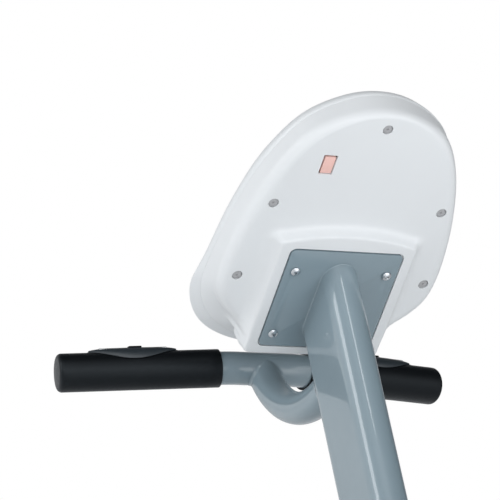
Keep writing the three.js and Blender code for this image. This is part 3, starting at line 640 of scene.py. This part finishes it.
def mast_joint(surface, into_wall):
    """Where the mast meets a flat face: points, ways along the wall and ways along the face."""
    points = mast_ring(0, surface)
    count = len(points)
    joint = []
    for i, point in enumerate(points):
        along = (points[(i + 1) % count] - points[i - 1]).normalized()
        wall = Vector((0, 0, into_wall))
        normal = Vector((along.y, -along.x, 0)).normalized()
        face = (normal - along * normal.dot(along)).normalized()
        joint.append((point, wall, face))
    return joint


make_flange()
make_mast()
weld("mast_weld_top", mast_joint(at_plate(), -1), WELD_LEG["top"], MAST)
weld("mast_weld_foot", mast_joint(at_flange(), 1), WELD_LEG["foot"], MAST)

# ---- Handlebar and its support -------------------------------------

bar_centre = (console_origin / MM) + Vector(BAR_OFFSET)


def slope(angle):
    return Vector((0, sin(angle), -cos(angle)))


def arm_direction(side):
    return Vector((side * cos(BAR_SWEEP) * cos(BAR_DROP), -sin(BAR_SWEEP) * cos(BAR_DROP),
                   -sin(BAR_DROP)))


def arm_point(side, distance):
    corner = bar_centre + Vector((side * BAR_BEND, 0, 0))
    return corner + arm_direction(side) * (distance - BAR_BEND)


def arm_matrix(side, distance):
    """Frame of one arm: Y outwards along the bar, Z upwards."""
    y = arm_direction(side)
    x = y.cross(Z_AXIS).normalized()
    z = x.cross(y)
    basis = Matrix((x, y, z)).transposed().to_4x4()
    return WORLD @ Matrix.Translation(arm_point(side, distance)) @ basis


def bar_line():
    """Centre line of the handlebar, from the right arm's end to the left arm's."""
    def bend(side):
        start = bar_centre + X_AXIS * side * BAR_STRAIGHT
        corner = bar_centre + X_AXIS * side * BAR_BEND
        end = arm_point(side, 2 * BAR_BEND - BAR_STRAIGHT)
        steps = 14
        return [start * (1 - t) ** 2 + corner * 2 * t * (1 - t) + end * t * t
                for t in (i / steps for i in range(steps + 1))]

    def arm(side):
        near = 2 * BAR_BEND - BAR_STRAIGHT
        return [arm_point(side, near + (BAR_HALF - near) * k / 6) for k in range(1, 7)]

    middle = [bar_centre + X_AXIS * x for x in (-13, 0, 13)]
    return arm(-1)[::-1] + bend(-1)[::-1] + middle + bend(1) + arm(1)


def support_line():
    """Centre line of the support tube, from the bar's axis to the end of its bend."""
    start = bar_centre + slope(SUPPORT_START) * SUPPORT_STRAIGHT
    hub = start + slope(SUPPORT_START + pi / 2) * SUPPORT_BEND
    steps = 60
    angles = [SUPPORT_START + (SUPPORT_END - SUPPORT_START) * i / steps for i in range(steps + 1)]
    return [bar_centre] + [hub - slope(a + pi / 2) * SUPPORT_BEND for a in angles]


def make_bar():
    line = bar_line()
    steel_tube("handlebar_tube_look", pipe(line, Z_AXIS, BAR_RADIUS),
               pipe(line, Z_AXIS, BAR_RADIUS - BAR_WALL))


def mast_wall_along(start, way):
    """How far from start, along way, the mast's user-side wall is."""
    to_mast = Matrix.Rotation(-MAST_LEAN, 3, "X")
    p, d = to_mast @ start, to_mast @ way
    half = MAST_WIDTH / 2
    wall = -(MAST_DEPTH / 2 - half) - sqrt(max(half * half - p.x * p.x, 0))
    return (wall - p.y) / d.y


def bar_wall_along(height):
    """How far from the bar's centre its wall is, at a height across the support."""
    return sqrt(max(BAR_RADIUS ** 2 - height ** 2, 0)) + GAP


def make_support():
    """The support tube, trimmed to the bar's wall at one end and the mast's at the other."""
    line = support_line()
    start_way, end_way = slope(SUPPORT_START), slope(SUPPORT_END)
    square = start_way.cross(X_AXIS)
    skins = []
    for radius in (SUPPORT_RADIUS, SUPPORT_RADIUS - BAR_WALL):
        rings = pipe(line, X_AXIS, radius)
        first = [p + start_way * bar_wall_along((p - bar_centre).dot(square))
                 for p in rings[0]]
        last = [p + end_way * (mast_wall_along(p, end_way) - GAP) for p in rings[-1]]
        middle = [ring for ring in rings[1:]
                  if all((p - bar_centre).dot(start_way) > (q - bar_centre).dot(start_way) + 0.2
                         for p, q in zip(ring, first))
                  and all(mast_wall_along(p, end_way) > GAP + 0.2 for p in ring)]
        skins.append([first, *middle, last])
    count = min(len(skin) for skin in skins)
    skins = [skin[:count - 1] + skin[-1:] for skin in skins]
    steel_tube("handlebar_support_look", *skins)
    make_support_welds(line[-1], end_way)


def make_support_welds(bend_end, way):
    sides = 96
    start_way = slope(SUPPORT_START)
    square = start_way.cross(X_AXIS)
    bar_joint, wall_joint = [], []
    for i in range(sides):
        turn = 2 * pi * i / sides
        radial = X_AXIS * cos(turn) + square * sin(turn)
        height = SUPPORT_RADIUS * sin(turn)
        point = bar_centre + radial * SUPPORT_RADIUS + start_way * bar_wall_along(height)
        bar_normal = point - bar_centre
        bar_normal.x = 0
        bar_normal.normalize()
        face = radial - bar_normal * radial.dot(bar_normal)
        scale = min(1.0, face.length * 1.3)
        bar_joint.append((point, start_way * scale, face.normalized() * scale))

        radial = X_AXIS * cos(turn) + way.cross(X_AXIS) * sin(turn)
        near = bend_end + radial * SUPPORT_RADIUS
        point = near + way * mast_wall_along(near, way)
        normal = Matrix.Rotation(-MAST_LEAN, 3, "X") @ point
        normal = Vector((normal.x, normal.y + MAST_DEPTH / 2 - MAST_WIDTH / 2, 0)).normalized()
        normal = Matrix.Rotation(MAST_LEAN, 3, "X") @ normal
        face = radial - normal * radial.dot(normal)
        wall_joint.append((point, -way, face.normalized()))
    weld("support_weld_bar", bar_joint, WELD_LEG["support"])
    weld("support_weld_mast", wall_joint, WELD_LEG["support"])


make_bar()
make_support()

# ---- Grips and pulse sensors ---------------------------------------


def make_grip(label, side):
    length = GRIP["end"] - GRIP["start"]
    bore = BAR_RADIUS + GAP
    edge = GRIP["edge"]
    dome = 0.5
    profile = [(bore, 12), (bore, 0.5), (bore + 0.5, 0), (GRIP["radius"] - 0.9, 0),
               (GRIP["radius"] - 0.3, 0.25), (GRIP["radius"], 0.9)]
    profile += [(GRIP["radius"], length * k / 12) for k in range(1, 12)]
    for i in range(11):
        turn = pi / 2 * i / 10
        profile.append((GRIP["radius"] - edge * (1 - cos(turn)),
                        length - dome - edge * (1 - sin(turn))))
    flat = GRIP["radius"] - edge
    profile += [(flat * (1 - k / 8), length - dome + dome * sin(pi / 2 * k / 8))
                for k in range(1, 8)]
    profile += [(0.3, length), (0.3, 12)]
    grip = piece(f"grip_{label}_look", *lathed(profile, 96))
    fit(grip, FOAM, arm_matrix(side, GRIP["start"]), 60)


def patch(length, middle, turn, half, floor, height, columns, rows):
    """
    Rings of a patch that lies round the bar: height(u, v) gives its outer radius and half(u)
    its half angle, for u along the bar and v round it, both from -1 to 1.
    """
    def point(u, v, radius):
        angle = turn + v * half(u)
        return Vector((radius * sin(angle), middle + u * length / 2, radius * cos(angle)))

    rings = []
    for i in range(columns + 1):
        u = -1 + 2 * i / columns
        vs = [-1 + 2 * j / rows for j in range(rows + 1)]
        rings.append([point(u, v, height(u, v)) for v in vs]
                     + [point(u, -v, floor) for v in vs])
    return rings


def pad_half(u):
    return PAD["reach"] * (0.12 + 0.88 * cos(u * pi / 2))


def pad_height(u, v):
    crown = (PAD["rise"] - PAD["end_rise"]) * (1 - abs(u) ** 3) ** 0.8
    lip = 1 - 0.5 * v * v - 0.25 * v ** 8
    return GRIP["radius"] + PAD["end_rise"] * (1 - v ** 6) + crown * lip


def make_shade_line(label, place):
    """A thin black sheet round the pad: painted shade that stands in for the shadowed gap where the
    pad meets the grip.
    """
    shade_sheet = piece(f"pulse_shade_line_{label}_look", *loft(patch(
        PAD["length"] + 2 * SHADE_LINE["past_end"], 0, 0, lambda u: pad_half(u) + SHADE_LINE["past_side"],
        GRIP["radius"] - 1, lambda u, v: GRIP["radius"] + SHADE_LINE["rise"], 96, 40)))
    fit(shade_sheet, RIB_AND_SHADE_BLACK, place, 45)


def make_rib(label, place):
    """A black block between the two contacts, a little proud of the pad."""
    top = GRIP["radius"] + PAD["rise"]
    rib = piece(f"pulse_rib_{label}_look", *loft([
        [(x, y + RIB["y"], z) for x, y in rounded_rect(RIB["width"], RIB["length"], 1.5, 4)]
        for z in (top - RIB["depth"], top + RIB["rise"])]))
    bevelled(rib, 0.3, 2, 60)
    fit(rib, RIB_AND_SHADE_BLACK, place, 45)


def make_pulse_sensor(label, side):
    place = arm_matrix(side, PAD["centre"])
    lean = side * CONTACT["lean"]
    floor = GRIP["radius"] + CONTACT["floor"]
    pad = piece(f"pulse_pad_{label}_look", *loft(patch(
        PAD["length"], 0, 0, pad_half, GRIP["radius"] - 1, pad_height, 96, 40)))
    seats = [piece("seat", *loft(patch(
        CONTACT["length"] + 2 * GAP, y, lean, lambda u: CONTACT["reach"] + GAP / GRIP["radius"],
        floor - GAP, lambda u, v: GRIP["radius"] + 8, 2, 24)))
        for y in (-CONTACT["middle"], CONTACT["middle"])]
    carve(pad, *seats)
    fit(pad, PAD_DARK, place, 45)
    make_shade_line(label, place)
    make_rib(label, place)
    for where, way in (("inner", -1), ("outer", 1)):
        plate = piece(f"pulse_contact_{label}_{where}_look", *loft(patch(
            CONTACT["length"], way * CONTACT["middle"], lean, lambda u: CONTACT["reach"],
            floor, lambda u, v: floor + CONTACT["height"], 24, 24)))
        bevelled(plate, 0.5, 3, 50)
        fit(plate, STAINLESS, place, 45)


for arm_label, arm_side in (("left", 1), ("right", -1)):
    make_grip(arm_label, arm_side)
    make_pulse_sensor(arm_label, arm_side)

# ---- Console plate and screws --------------------------------------


def make_plate():
    plate = prism("console_plate_look", rounded_rect(
        PLATE["width"], PLATE["height"], PLATE["corner"], 10), 0, 0, 0, PLATE["thickness"])
    tools = [prism("hole", circle(PLATE_HOLE), x, y, -1, 4) for x, y in PLATE_SCREWS]
    bevelled(carve(plate, *tools), 0.5, 3)
    fit(plate, STEEL)


def cross_cutter(reach, width, z0, z1):
    """A tapered cross recess, as two crossed wedges."""
    parts = []
    for turn in (0, pi / 2):
        rings = [[(x * cos(turn) - y * sin(turn), x * sin(turn) + y * cos(turn), z)
                  for x, y in rect(reach * scale, width / 2)]
                 for z, scale in ((z0, 1), (z1, 0.35))]
        parts.append(piece("cross", *loft(rings)))
    return parts


def make_screws(label, places, profile, cross, turn_of, material):
    """Screws turned about Z from (radius, depth) pairs, each with a cross recess."""
    for i, (x, y) in enumerate(places):
        screw = piece(f"{label}_{i + 1}_look", *lathed(profile))
        screw.data.transform(Matrix.Rotation(pi / 2, 4, "X"))
        carve(screw, *cross_cutter(*cross))
        screw.data.transform(Matrix.Rotation(radians(turn_of(i)), 4, "Z"))
        fit(screw, material, CONSOLE @ Matrix.Translation((x, y, 0)), 35)


def make_plate_screws():
    r, h = PLATE_HEAD["radius"], PLATE_HEAD["height"]
    profile = [(0.05, 17), (1.9, 17), (2.4, 16.4), (2.4, -GAP), (r - 0.15, -GAP), (r, -GAP - 0.2),
               (r, -GAP - 0.9)]
    for i in range(1, 12):
        turn = pi / 2 * i / 12
        profile.append((r * cos(turn), -GAP - 0.9 - (h - 0.9) * sin(turn)))
    profile.append((0.05, -GAP - h))
    make_screws("plate_screw", PLATE_SCREWS, profile, (2.5, 0.95, -4, -1),
                lambda i: 20 + 37 * i, CHROME)


make_plate()
make_plate_screws()

# ---- Back shell ----------------------------------------------------

RING_STEPS = 6
ROUND_STEPS = 8


def ring(half):
    """A smooth closed ring through a half outline and its mirror image."""
    right = [Vector(p) for p in half]
    knots = right + [Vector((-p.x, p.y, p.z)) for p in right[-2:0:-1]]
    count = len(knots)
    points = []
    for i in range(count):
        p0, p1, p2, p3 = (knots[(i + k) % count] for k in (-1, 0, 1, 2))
        for j in range(RING_STEPS):
            t = j / RING_STEPS
            points.append(0.5 * (2 * p1 + (p2 - p0) * t + (2 * p0 - 5 * p1 + 4 * p2 - p3) * t ** 2
                                 + (3 * p1 - p0 - 3 * p2 + p3) * t ** 3))
    return smoothed(points, 10)


def smoothed(points, passes):
    for _ in range(passes):
        points = [(points[i - 1] + points[i] * 2 + points[(i + 1) % len(points)]) / 4
                  for i in range(len(points))]
    return points


def inset(points, distance, depth=0.0):
    """Moves a ring inwards in its plane, and along its depth."""
    moved = []
    for i, p in enumerate(points):
        along = points[(i + 1) % len(points)] - points[i - 1]
        inward = Vector((along.y, -along.x, 0)).normalized()
        moved.append(p + inward * distance + Vector((0, 0, depth)))
    return moved


def round_over(edge, flat):
    """Rings of a quarter-round from an edge ring to a flat ring."""
    rings = []
    for k in range(1, ROUND_STEPS + 1):
        turn = pi / 2 * k / ROUND_STEPS
        rings.append([Vector((f.x + (e.x - f.x) * cos(turn), f.y + (e.y - f.y) * cos(turn),
                              e.z + (f.z - e.z) * sin(turn))) for e, f in zip(edge, flat)])
    return rings


back_flat, back_edge, parting = ring(at_depth(BACK_FLAT, BACK_FACE)), ring(BACK_EDGE), ring(PARTING)


def raise_boss(mesh):
    """Lifts the back's skin to the boss's face, and ramps it back down all round."""
    count = len(mesh.vertices)
    flat = np.empty(count * 3)
    mesh.vertices.foreach_get("co", flat)
    co = flat.reshape(-1, 3)
    x, y, z = np.abs(co[:, 0]), co[:, 1], co[:, 2]
    half, r = BOSS["width"] / 2, BOSS["corner"]
    arch = BOSS["crown"] - BOSS["shoulder"]
    top = BOSS["shoulder"] + arch * (1 - np.minimum(x / (half - r), 1) ** 2)
    middle = (BOSS["shoulder"] + BOSS["bottom"]) / 2
    upper = y > middle
    dx = x - half
    dy = np.where(upper, y - top, BOSS["bottom"] - y)
    qx, qy = np.maximum(dx + r, 0), np.maximum(dy + r, 0)
    corner = (qx > 0) & (qy > 0)
    distance = np.where(corner, np.hypot(qx, qy) - r, np.maximum(dx, dy))
    share = np.where(corner, qy ** 2 / np.maximum(qx ** 2 + qy ** 2, 1e-9), (dy > dx) * 1.0)

    def blended(key):
        end = np.where(upper, RAMP_TOP[key], RAMP_BOTTOM[key])
        return RAMP_SIDE[key] * (1 - share) + end * share

    s = np.clip(distance / blended("width"), 0, 1)
    fall = 1 - (1 - s) ** blended("steepness")
    lifted = BOSS_FACE + (z - BOSS_FACE) * fall
    on_back = z < 34
    co[:, 2] = np.where(on_back, lifted, z)
    mesh.vertices.foreach_set("co", co.reshape(-1))
    mesh.update()


def boss_ring(grow, depth):
    """The boss's outline, grown outwards."""
    half = BOSS["width"] / 2 + grow
    r = BOSS["corner"] + max(grow, -BOSS["corner"] / 2)
    bottom, shoulder = BOSS["bottom"] - grow, BOSS["shoulder"] + grow
    reach = half - r
    arch = BOSS["crown"] - BOSS["shoulder"]
    steps = 24
    outline = arc(reach, shoulder - r, r, 0, pi / 2, 8)
    outline += [(reach * (1 - 2 * i / steps), shoulder + arch * (1 - (1 - 2 * i / steps) ** 2))
                for i in range(1, steps)]
    outline += arc(-reach, shoulder - r, r, pi / 2, pi, 8)
    outline += arc(-reach, bottom + r, r, pi, 1.5 * pi, 8)
    outline += arc(reach, bottom + r, r, 1.5 * pi, 2 * pi, 8)
    return [(x, y, depth) for x, y in outline]


def make_back_shell():
    below = inset(parting, 0, 8)
    skin = piece("skin", *loft([below, parting, back_edge, *round_over(back_edge, back_flat)]))
    remeshed(skin, 1.2, 0)
    raise_boss(skin.data)
    draft = BOSS["draft"]
    block = piece("block", *loft([boss_ring(draft, 30), boss_ring(draft, BACK_FACE + 1.5),
                                  boss_ring(0.4, BOSS_FACE + 1.2), boss_ring(-1, BOSS_FACE)]))
    shell = remeshed(join_meshes("console_back_shell_look", skin, block), 1.1, 8)

    far = 80
    wall_cut = piece("wall_cut", *loft([
        inset(parting, 30), inset(parting, -20), inset(parting, -20, far), inset(parting, 30, far),
    ], closed=True))
    inner_edge = inset(back_edge, SHELL_WALL)
    cavity = piece("cavity", *loft([
        inset(parting, SHELL_WALL, 20), inset(parting, SHELL_WALL), inner_edge,
        *round_over(inner_edge, inset(back_flat, SHELL_WALL / 2, SHELL_WALL)),
    ]))
    boss_cavity = piece("boss_cavity", *loft([
        boss_ring(draft - BOSS_WALL, BACK_FACE + 12), boss_ring(-BOSS_WALL, BOSS_FLOOR),
    ]))
    margin = 2 * SEAT_MARGIN
    seat = prism("seat", rounded_rect(PLATE["width"] + margin, PLATE["height"] + margin,
                                      PLATE["corner"] + SEAT_MARGIN, 10), 0, 0, -5, PLATE_SEAT)
    wells = [prism("well", circle(WELL["radius"]), x, y, 0, BACK_FACE + WELL["depth"])
             for x, y in CASE_SCREWS]
    port = prism("port", rounded_rect(PORT["width"], PORT["height"], PORT["corner"], 4),
                 PORT["x"], PORT["y"], 0, BACK_FACE + 8)
    bores = [prism("bore", circle(PLATE_HOLE), x, y, 0, BOSS_FLOOR + 2) for x, y in PLATE_SCREWS]
    carve(shell, wall_cut, cavity, boss_cavity, seat, *wells, port, *bores)
    fit(shell, WHITE, CONSOLE, 42)


def make_case_screws():
    face = BACK_FACE + CASE_HEAD["recess"]
    r = CASE_HEAD["radius"]
    profile = [(0.05, face + 30), (1.7, face + 27), (1.7, face + 1.9), (r, face + 1.9),
               (r, face + 0.5), (r - 0.15, face + 0.15), (r - 0.5, face), (0.05, face)]
    make_screws("case_screw", CASE_SCREWS, profile, (1.9, 0.6, face - 1, face + 0.8),
                lambda i: 11 + 53 * i, SCREW_GREY)


def make_port():
    """A socket block with a lower rim round its raised face."""
    top, width, height = BACK_FACE + PORT["recess"], PORT["width"], PORT["height"]
    rim = prism("rim", rounded_rect(width - 2 * GAP, height - 2 * GAP, PORT["corner"], 4),
                PORT["x"], PORT["y"], top + 3, BACK_FACE + SHELL_WALL + 9)
    face = prism("face", rounded_rect(width - 3, height - 3.2, 0.5, 4), PORT["x"] - 0.9,
                 PORT["y"] - 1, top, top + 4)
    insert = united("port_insert_look", rim, face)
    bevelled(insert, 0.25, 2, 60)
    fit(insert, PORT_PINK)


make_back_shell()
make_case_screws()
make_port()

# ---- Front shell, window and keys ----------------------------------


def make_front_shell():
    joint = inset(parting, 0, SEAM)
    rim, flat = ring(FRONT_RIM), ring(at_depth(FRONT_FLAT, FRONT_FACE))
    shell = piece("console_front_shell_look", *loft([joint, rim, *round_over(rim, flat)]))
    inner_rim = inset(rim, SHELL_WALL)
    cavity = piece("cavity", *loft([
        inset(joint, SHELL_WALL, -6), inset(joint, SHELL_WALL), inner_rim,
        *round_over(inner_rim, inset(flat, SHELL_WALL / 2, -SHELL_WALL)),
    ]))
    window = prism("window", rounded_rect(WINDOW["width"], WINDOW["height"], WINDOW["corner"]),
                   0, WINDOW["y"], 50, FRONT_FACE + 5)
    grow = 2 * WINDOW_BED["grow"]
    window_bed = bed(rounded_rect(WINDOW["width"] + grow, WINDOW["height"] + grow,
                                  WINDOW_BED["corner"]), WINDOW["y"], WINDOW_BED["depth"])
    key_bed = bed(rounded_rect(KEY_BED["width"], KEY_BED["height"], KEY_BED["corner"]),
                  KEY["y"], KEY_BED["depth"])
    slots = [key_solid(x, GAP, [(50, 0), (FRONT_FACE + 5, 0)]) for x in KEY_XS]
    carve(shell, cavity, window_bed, key_bed, window, *slots)
    fit(shell, WHITE, CONSOLE, 32)


def key_solid(x, grow, levels):
    """A stadium solid through (depth, inset) levels, lying across the console."""
    rings = []
    for z, inward in levels:
        outline = stadium(KEY["length"] + 2 * (grow - inward), KEY["width"] + 2 * (grow - inward))
        rings.append([(x - py, KEY["y"] + px, z) for px, py in outline])
    return piece("key", *loft(rings))


def bed(outline, y, depth):
    """A cutter for a shallow hollow in the front face, with sloping sides."""
    rings = [[(px * scale, y + py * scale, z) for px, py in outline]
             for z, scale in ((FRONT_FACE - depth, 1), (FRONT_FACE + 1, 1.02))]
    return piece("bed", *loft(rings))


def make_window():
    inside = FRONT_FACE - SHELL_WALL
    lip = inside - WINDOW["lip_thickness"]
    pane = prism("pane", rounded_rect(WINDOW["width"] - 2 * GAP, WINDOW["height"] - 2 * GAP,
                                      WINDOW["corner"] - GAP), 0, WINDOW["y"],
                 lip + 0.5, FRONT_FACE - 1.1)
    edge = prism("edge", rounded_rect(WINDOW["width"] + 2 * WINDOW["lip"],
                                      WINDOW["height"] + 2 * WINDOW["lip"], WINDOW["corner"]),
                 0, WINDOW["y"], lip, inside)
    window = united("display_window_look", pane, edge)
    bevelled(window, 0.4, 3)
    fit(window, SMOKED)


def make_lcd():
    """The glass of the display, with a raised frame round a sunken reading area."""
    low = BOARD["front"] + GAP
    glass = prism("lcd_panel_look", rounded_rect(LCD["width"], LCD["height"], 1.5, 3),
                  0, WINDOW["y"], low, low + LCD["depth"])
    recess = prism("recess", rounded_rect(LCD["width"] - 8, LCD["height"] - 8, 1, 3),
                   0, WINDOW["y"], low + LCD["depth"] - 0.5, low + LCD["depth"] + 1)
    bevelled(carve(glass, recess), 0.25, 2)
    fit(glass, LCD_GREEN)


def make_keys():
    """Rubbery caps with rounded rims and a sunk mark, each riding on its own body."""
    marks = [[(0, 2.6), (-2.6, -1.6), (2.6, -1.6)], [(0, -2.6), (2.6, 1.6), (-2.6, 1.6)],
             circle(2.4, 32), rounded_rect(6.4, 1.6, 0.5, 4), rounded_rect(4, 4, 0.5, 4)]
    flange_top = FRONT_FACE - SHELL_WALL
    top = FRONT_FACE + KEY["proud"]
    switch_top = BOARD["front"] + GAP + SWITCH["height"] + SWITCH["plunger_height"]
    stem_end = switch_top + KEY_TRAVEL + 0.2
    for i, (x, mark) in enumerate(zip(KEY_XS, marks)):
        levels = [(flange_top - 1.2, 0), (top - KEY_ROUND, 0)]
        for k in range(1, 7):
            turn = pi / 2 * k / 6
            levels.append((top - KEY_ROUND * (1 - sin(turn)), KEY_ROUND * (1 - cos(turn))))
        cap = key_solid(x, 0, levels)
        flange = key_solid(x, KEY["flange"], [(flange_top - 1.4, 0), (flange_top, 0)])
        stem = prism("stem", circle(KEY["stem"], 24), x, KEY["y"], stem_end, flange_top - 1)
        key = united(f"key_{i + 1}_look", cap, flange, stem)
        carve(key, prism("mark", mark, x, KEY["y"], top - MARK_DEPTH, top + 1))
        fit(key, KEY_GREY, body=f"key_{i + 1}")


def make_board():
    board = prism("main_board_look", rounded_rect(BOARD["width"], BOARD["height"], 1.5, 3),
                  0, BOARD["y"], BOARD["front"] - BOARD["thickness"], BOARD["front"])
    bevelled(board, 0.15, 1)
    fit(board, BOARD_GREEN)


def make_lead_plug():
    y, bottom = LEAD_PLUG["y"], LEAD_PLUG["bottom"]
    plug = prism("lead_plug_look", rect(LEAD_PLUG["width"] / 2, LEAD_PLUG["depth"] / 2), 0, y,
                 bottom, bottom + LEAD_PLUG["length"])
    sockets = [prism("socket", rounded_rect(1.6, 1.6, 0.2, 2), (k - 1.5) * 2.5, y, bottom - 1,
                     bottom + 5) for k in range(4)]
    bevelled(carve(plug, *sockets), 0.4, 2)
    fit(plug, NYLON, WORLD)


make_front_shell()
make_window()
make_lcd()
make_keys()
make_board()
make_lead_plug()

# ---- CAD nodes that keep their shape -------------------------------


def refinish(material, *names):
    for name in names:
        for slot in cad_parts[name].material_slots:
            slot.material = material


refinish(DARK, "bar_end_plug_left", "bar_end_plug_right", "buzzer", "board_header", "display_lead",
         "pulse_lead_left", "pulse_lead_right", *(f"key_switch_{i}" for i in range(1, 6)))
refinish(ZINC, *(f"plate_nut_{i}" for i in range(1, 5)))

# ---- Studio --------------------------------------------------------


def glow_sum(tree, way, base, glows):
    """Brightness along a direction: a base level and soft round glows added to it."""
    def math(operation, a, b=None):
        node = tree.nodes.new("ShaderNodeMath")
        node.operation = operation
        for socket, value in zip(node.inputs, (a, b)):
            if isinstance(value, bpy.types.NodeSocket):
                tree.links.new(value, socket)
            elif value is not None:
                socket.default_value = value
        return node.outputs["Value"]

    total = base
    for azimuth, elevation, sharpness, strength in glows:
        dot = tree.nodes.new("ShaderNodeVectorMath")
        dot.operation = "DOT_PRODUCT"
        dot.inputs[1].default_value = heading(azimuth, elevation)
        tree.links.new(way, dot.inputs[0])
        fall = math("MULTIPLY", math("SUBTRACT", dot.outputs["Value"], 1), sharpness)
        total = math("ADD", math("MULTIPLY", math("EXPONENT", fall), strength), total)
    return total


def make_studio():
    scene = bpy.context.scene
    scene.view_settings.view_transform = "Standard"
    world = bpy.data.worlds.new("studio")
    scene.world = world
    world.use_nodes = True
    nodes, links = world.node_tree.nodes, world.node_tree.links
    place = nodes.new("ShaderNodeTexCoord")
    soft = nodes["Background"]
    set_inputs(soft, {"Color": LIGHT_COLOR})
    links.new(glow_sum(world.node_tree, place.outputs["Generated"], AMBIENT, GLOWS),
              soft.inputs["Strength"])
    white = nodes.new("ShaderNodeBackground")
    set_inputs(white, {"Color": (1, 1, 1, 1)})
    mix = nodes.new("ShaderNodeMixShader")
    path = nodes.new("ShaderNodeLightPath")
    links.new(path.outputs["Is Camera Ray"], mix.inputs["Fac"])
    links.new(soft.outputs["Background"], mix.inputs[1])
    links.new(white.outputs["Background"], mix.inputs[2])
    links.new(mix.outputs["Shader"], nodes["World Output"].inputs["Surface"])


def make_floor():
    """A pale floor with painted light: an emission that glows in soft pools round the object, as if
    low lamps fell on it.
    """
    finish = Finish("floor", (0.86, 0.87, 0.88), 0.7)
    finish.tint(finish.noise(3, 2), 0.008)
    tree = finish.material.node_tree
    spot = finish.nodes.new("ShaderNodeNewGeometry")
    away = finish.nodes.new("ShaderNodeVectorMath")
    away.operation = "SUBTRACT"
    away.inputs[1].default_value = GLOW_CENTRE
    finish.links.new(spot.outputs["Position"], away.inputs[0])
    unit = finish.nodes.new("ShaderNodeVectorMath")
    unit.operation = "NORMALIZE"
    finish.links.new(away.outputs["Vector"], unit.inputs[0])
    set_inputs(finish.shader, {"Emission Color": LIGHT_COLOR})
    finish.links.new(glow_sum(tree, unit.outputs["Vector"], FLOOR_GLOW_BASE, FLOOR_GLOWS),
                     finish.shader.inputs["Emission Strength"])
    mesh = bpy.data.meshes.new("floor")
    mesh.from_pydata(at_depth(circle(FLOOR_RADIUS, FLOOR_SIDES), 0), [],
                     [tuple(range(FLOOR_SIDES))])
    mesh.materials.append(finish.material)
    floor = bpy.data.objects.new("floor", mesh)
    bpy.context.scene.collection.objects.link(floor)


def make_strip(name, azimuth, elevation, width, height, brightness):
    """A soft box, seen in the gloss of the mast."""
    data = bpy.data.lights.new(name, "AREA")
    data.shape = "RECTANGLE"
    data.size = width
    data.size_y = height
    data.energy = brightness * pi * width * height
    data.color = LIGHT_COLOR[:3]
    light = bpy.data.objects.new(name, data)
    way = heading(azimuth, elevation)
    light.location = STRIP_CENTRE + way * STRIP_DISTANCE
    light.rotation_mode = "QUATERNION"
    light.rotation_quaternion = (-way).to_track_quat("-Z", "Y")
    light.visible_camera = False
    bpy.context.scene.collection.objects.link(light)


make_studio()
make_floor()
make_strip("side_strip", 87, 28, 0.8, 1.6, 4.0)
make_strip("high_strip", 162, 55, 0.32, 0.5, 5.0)
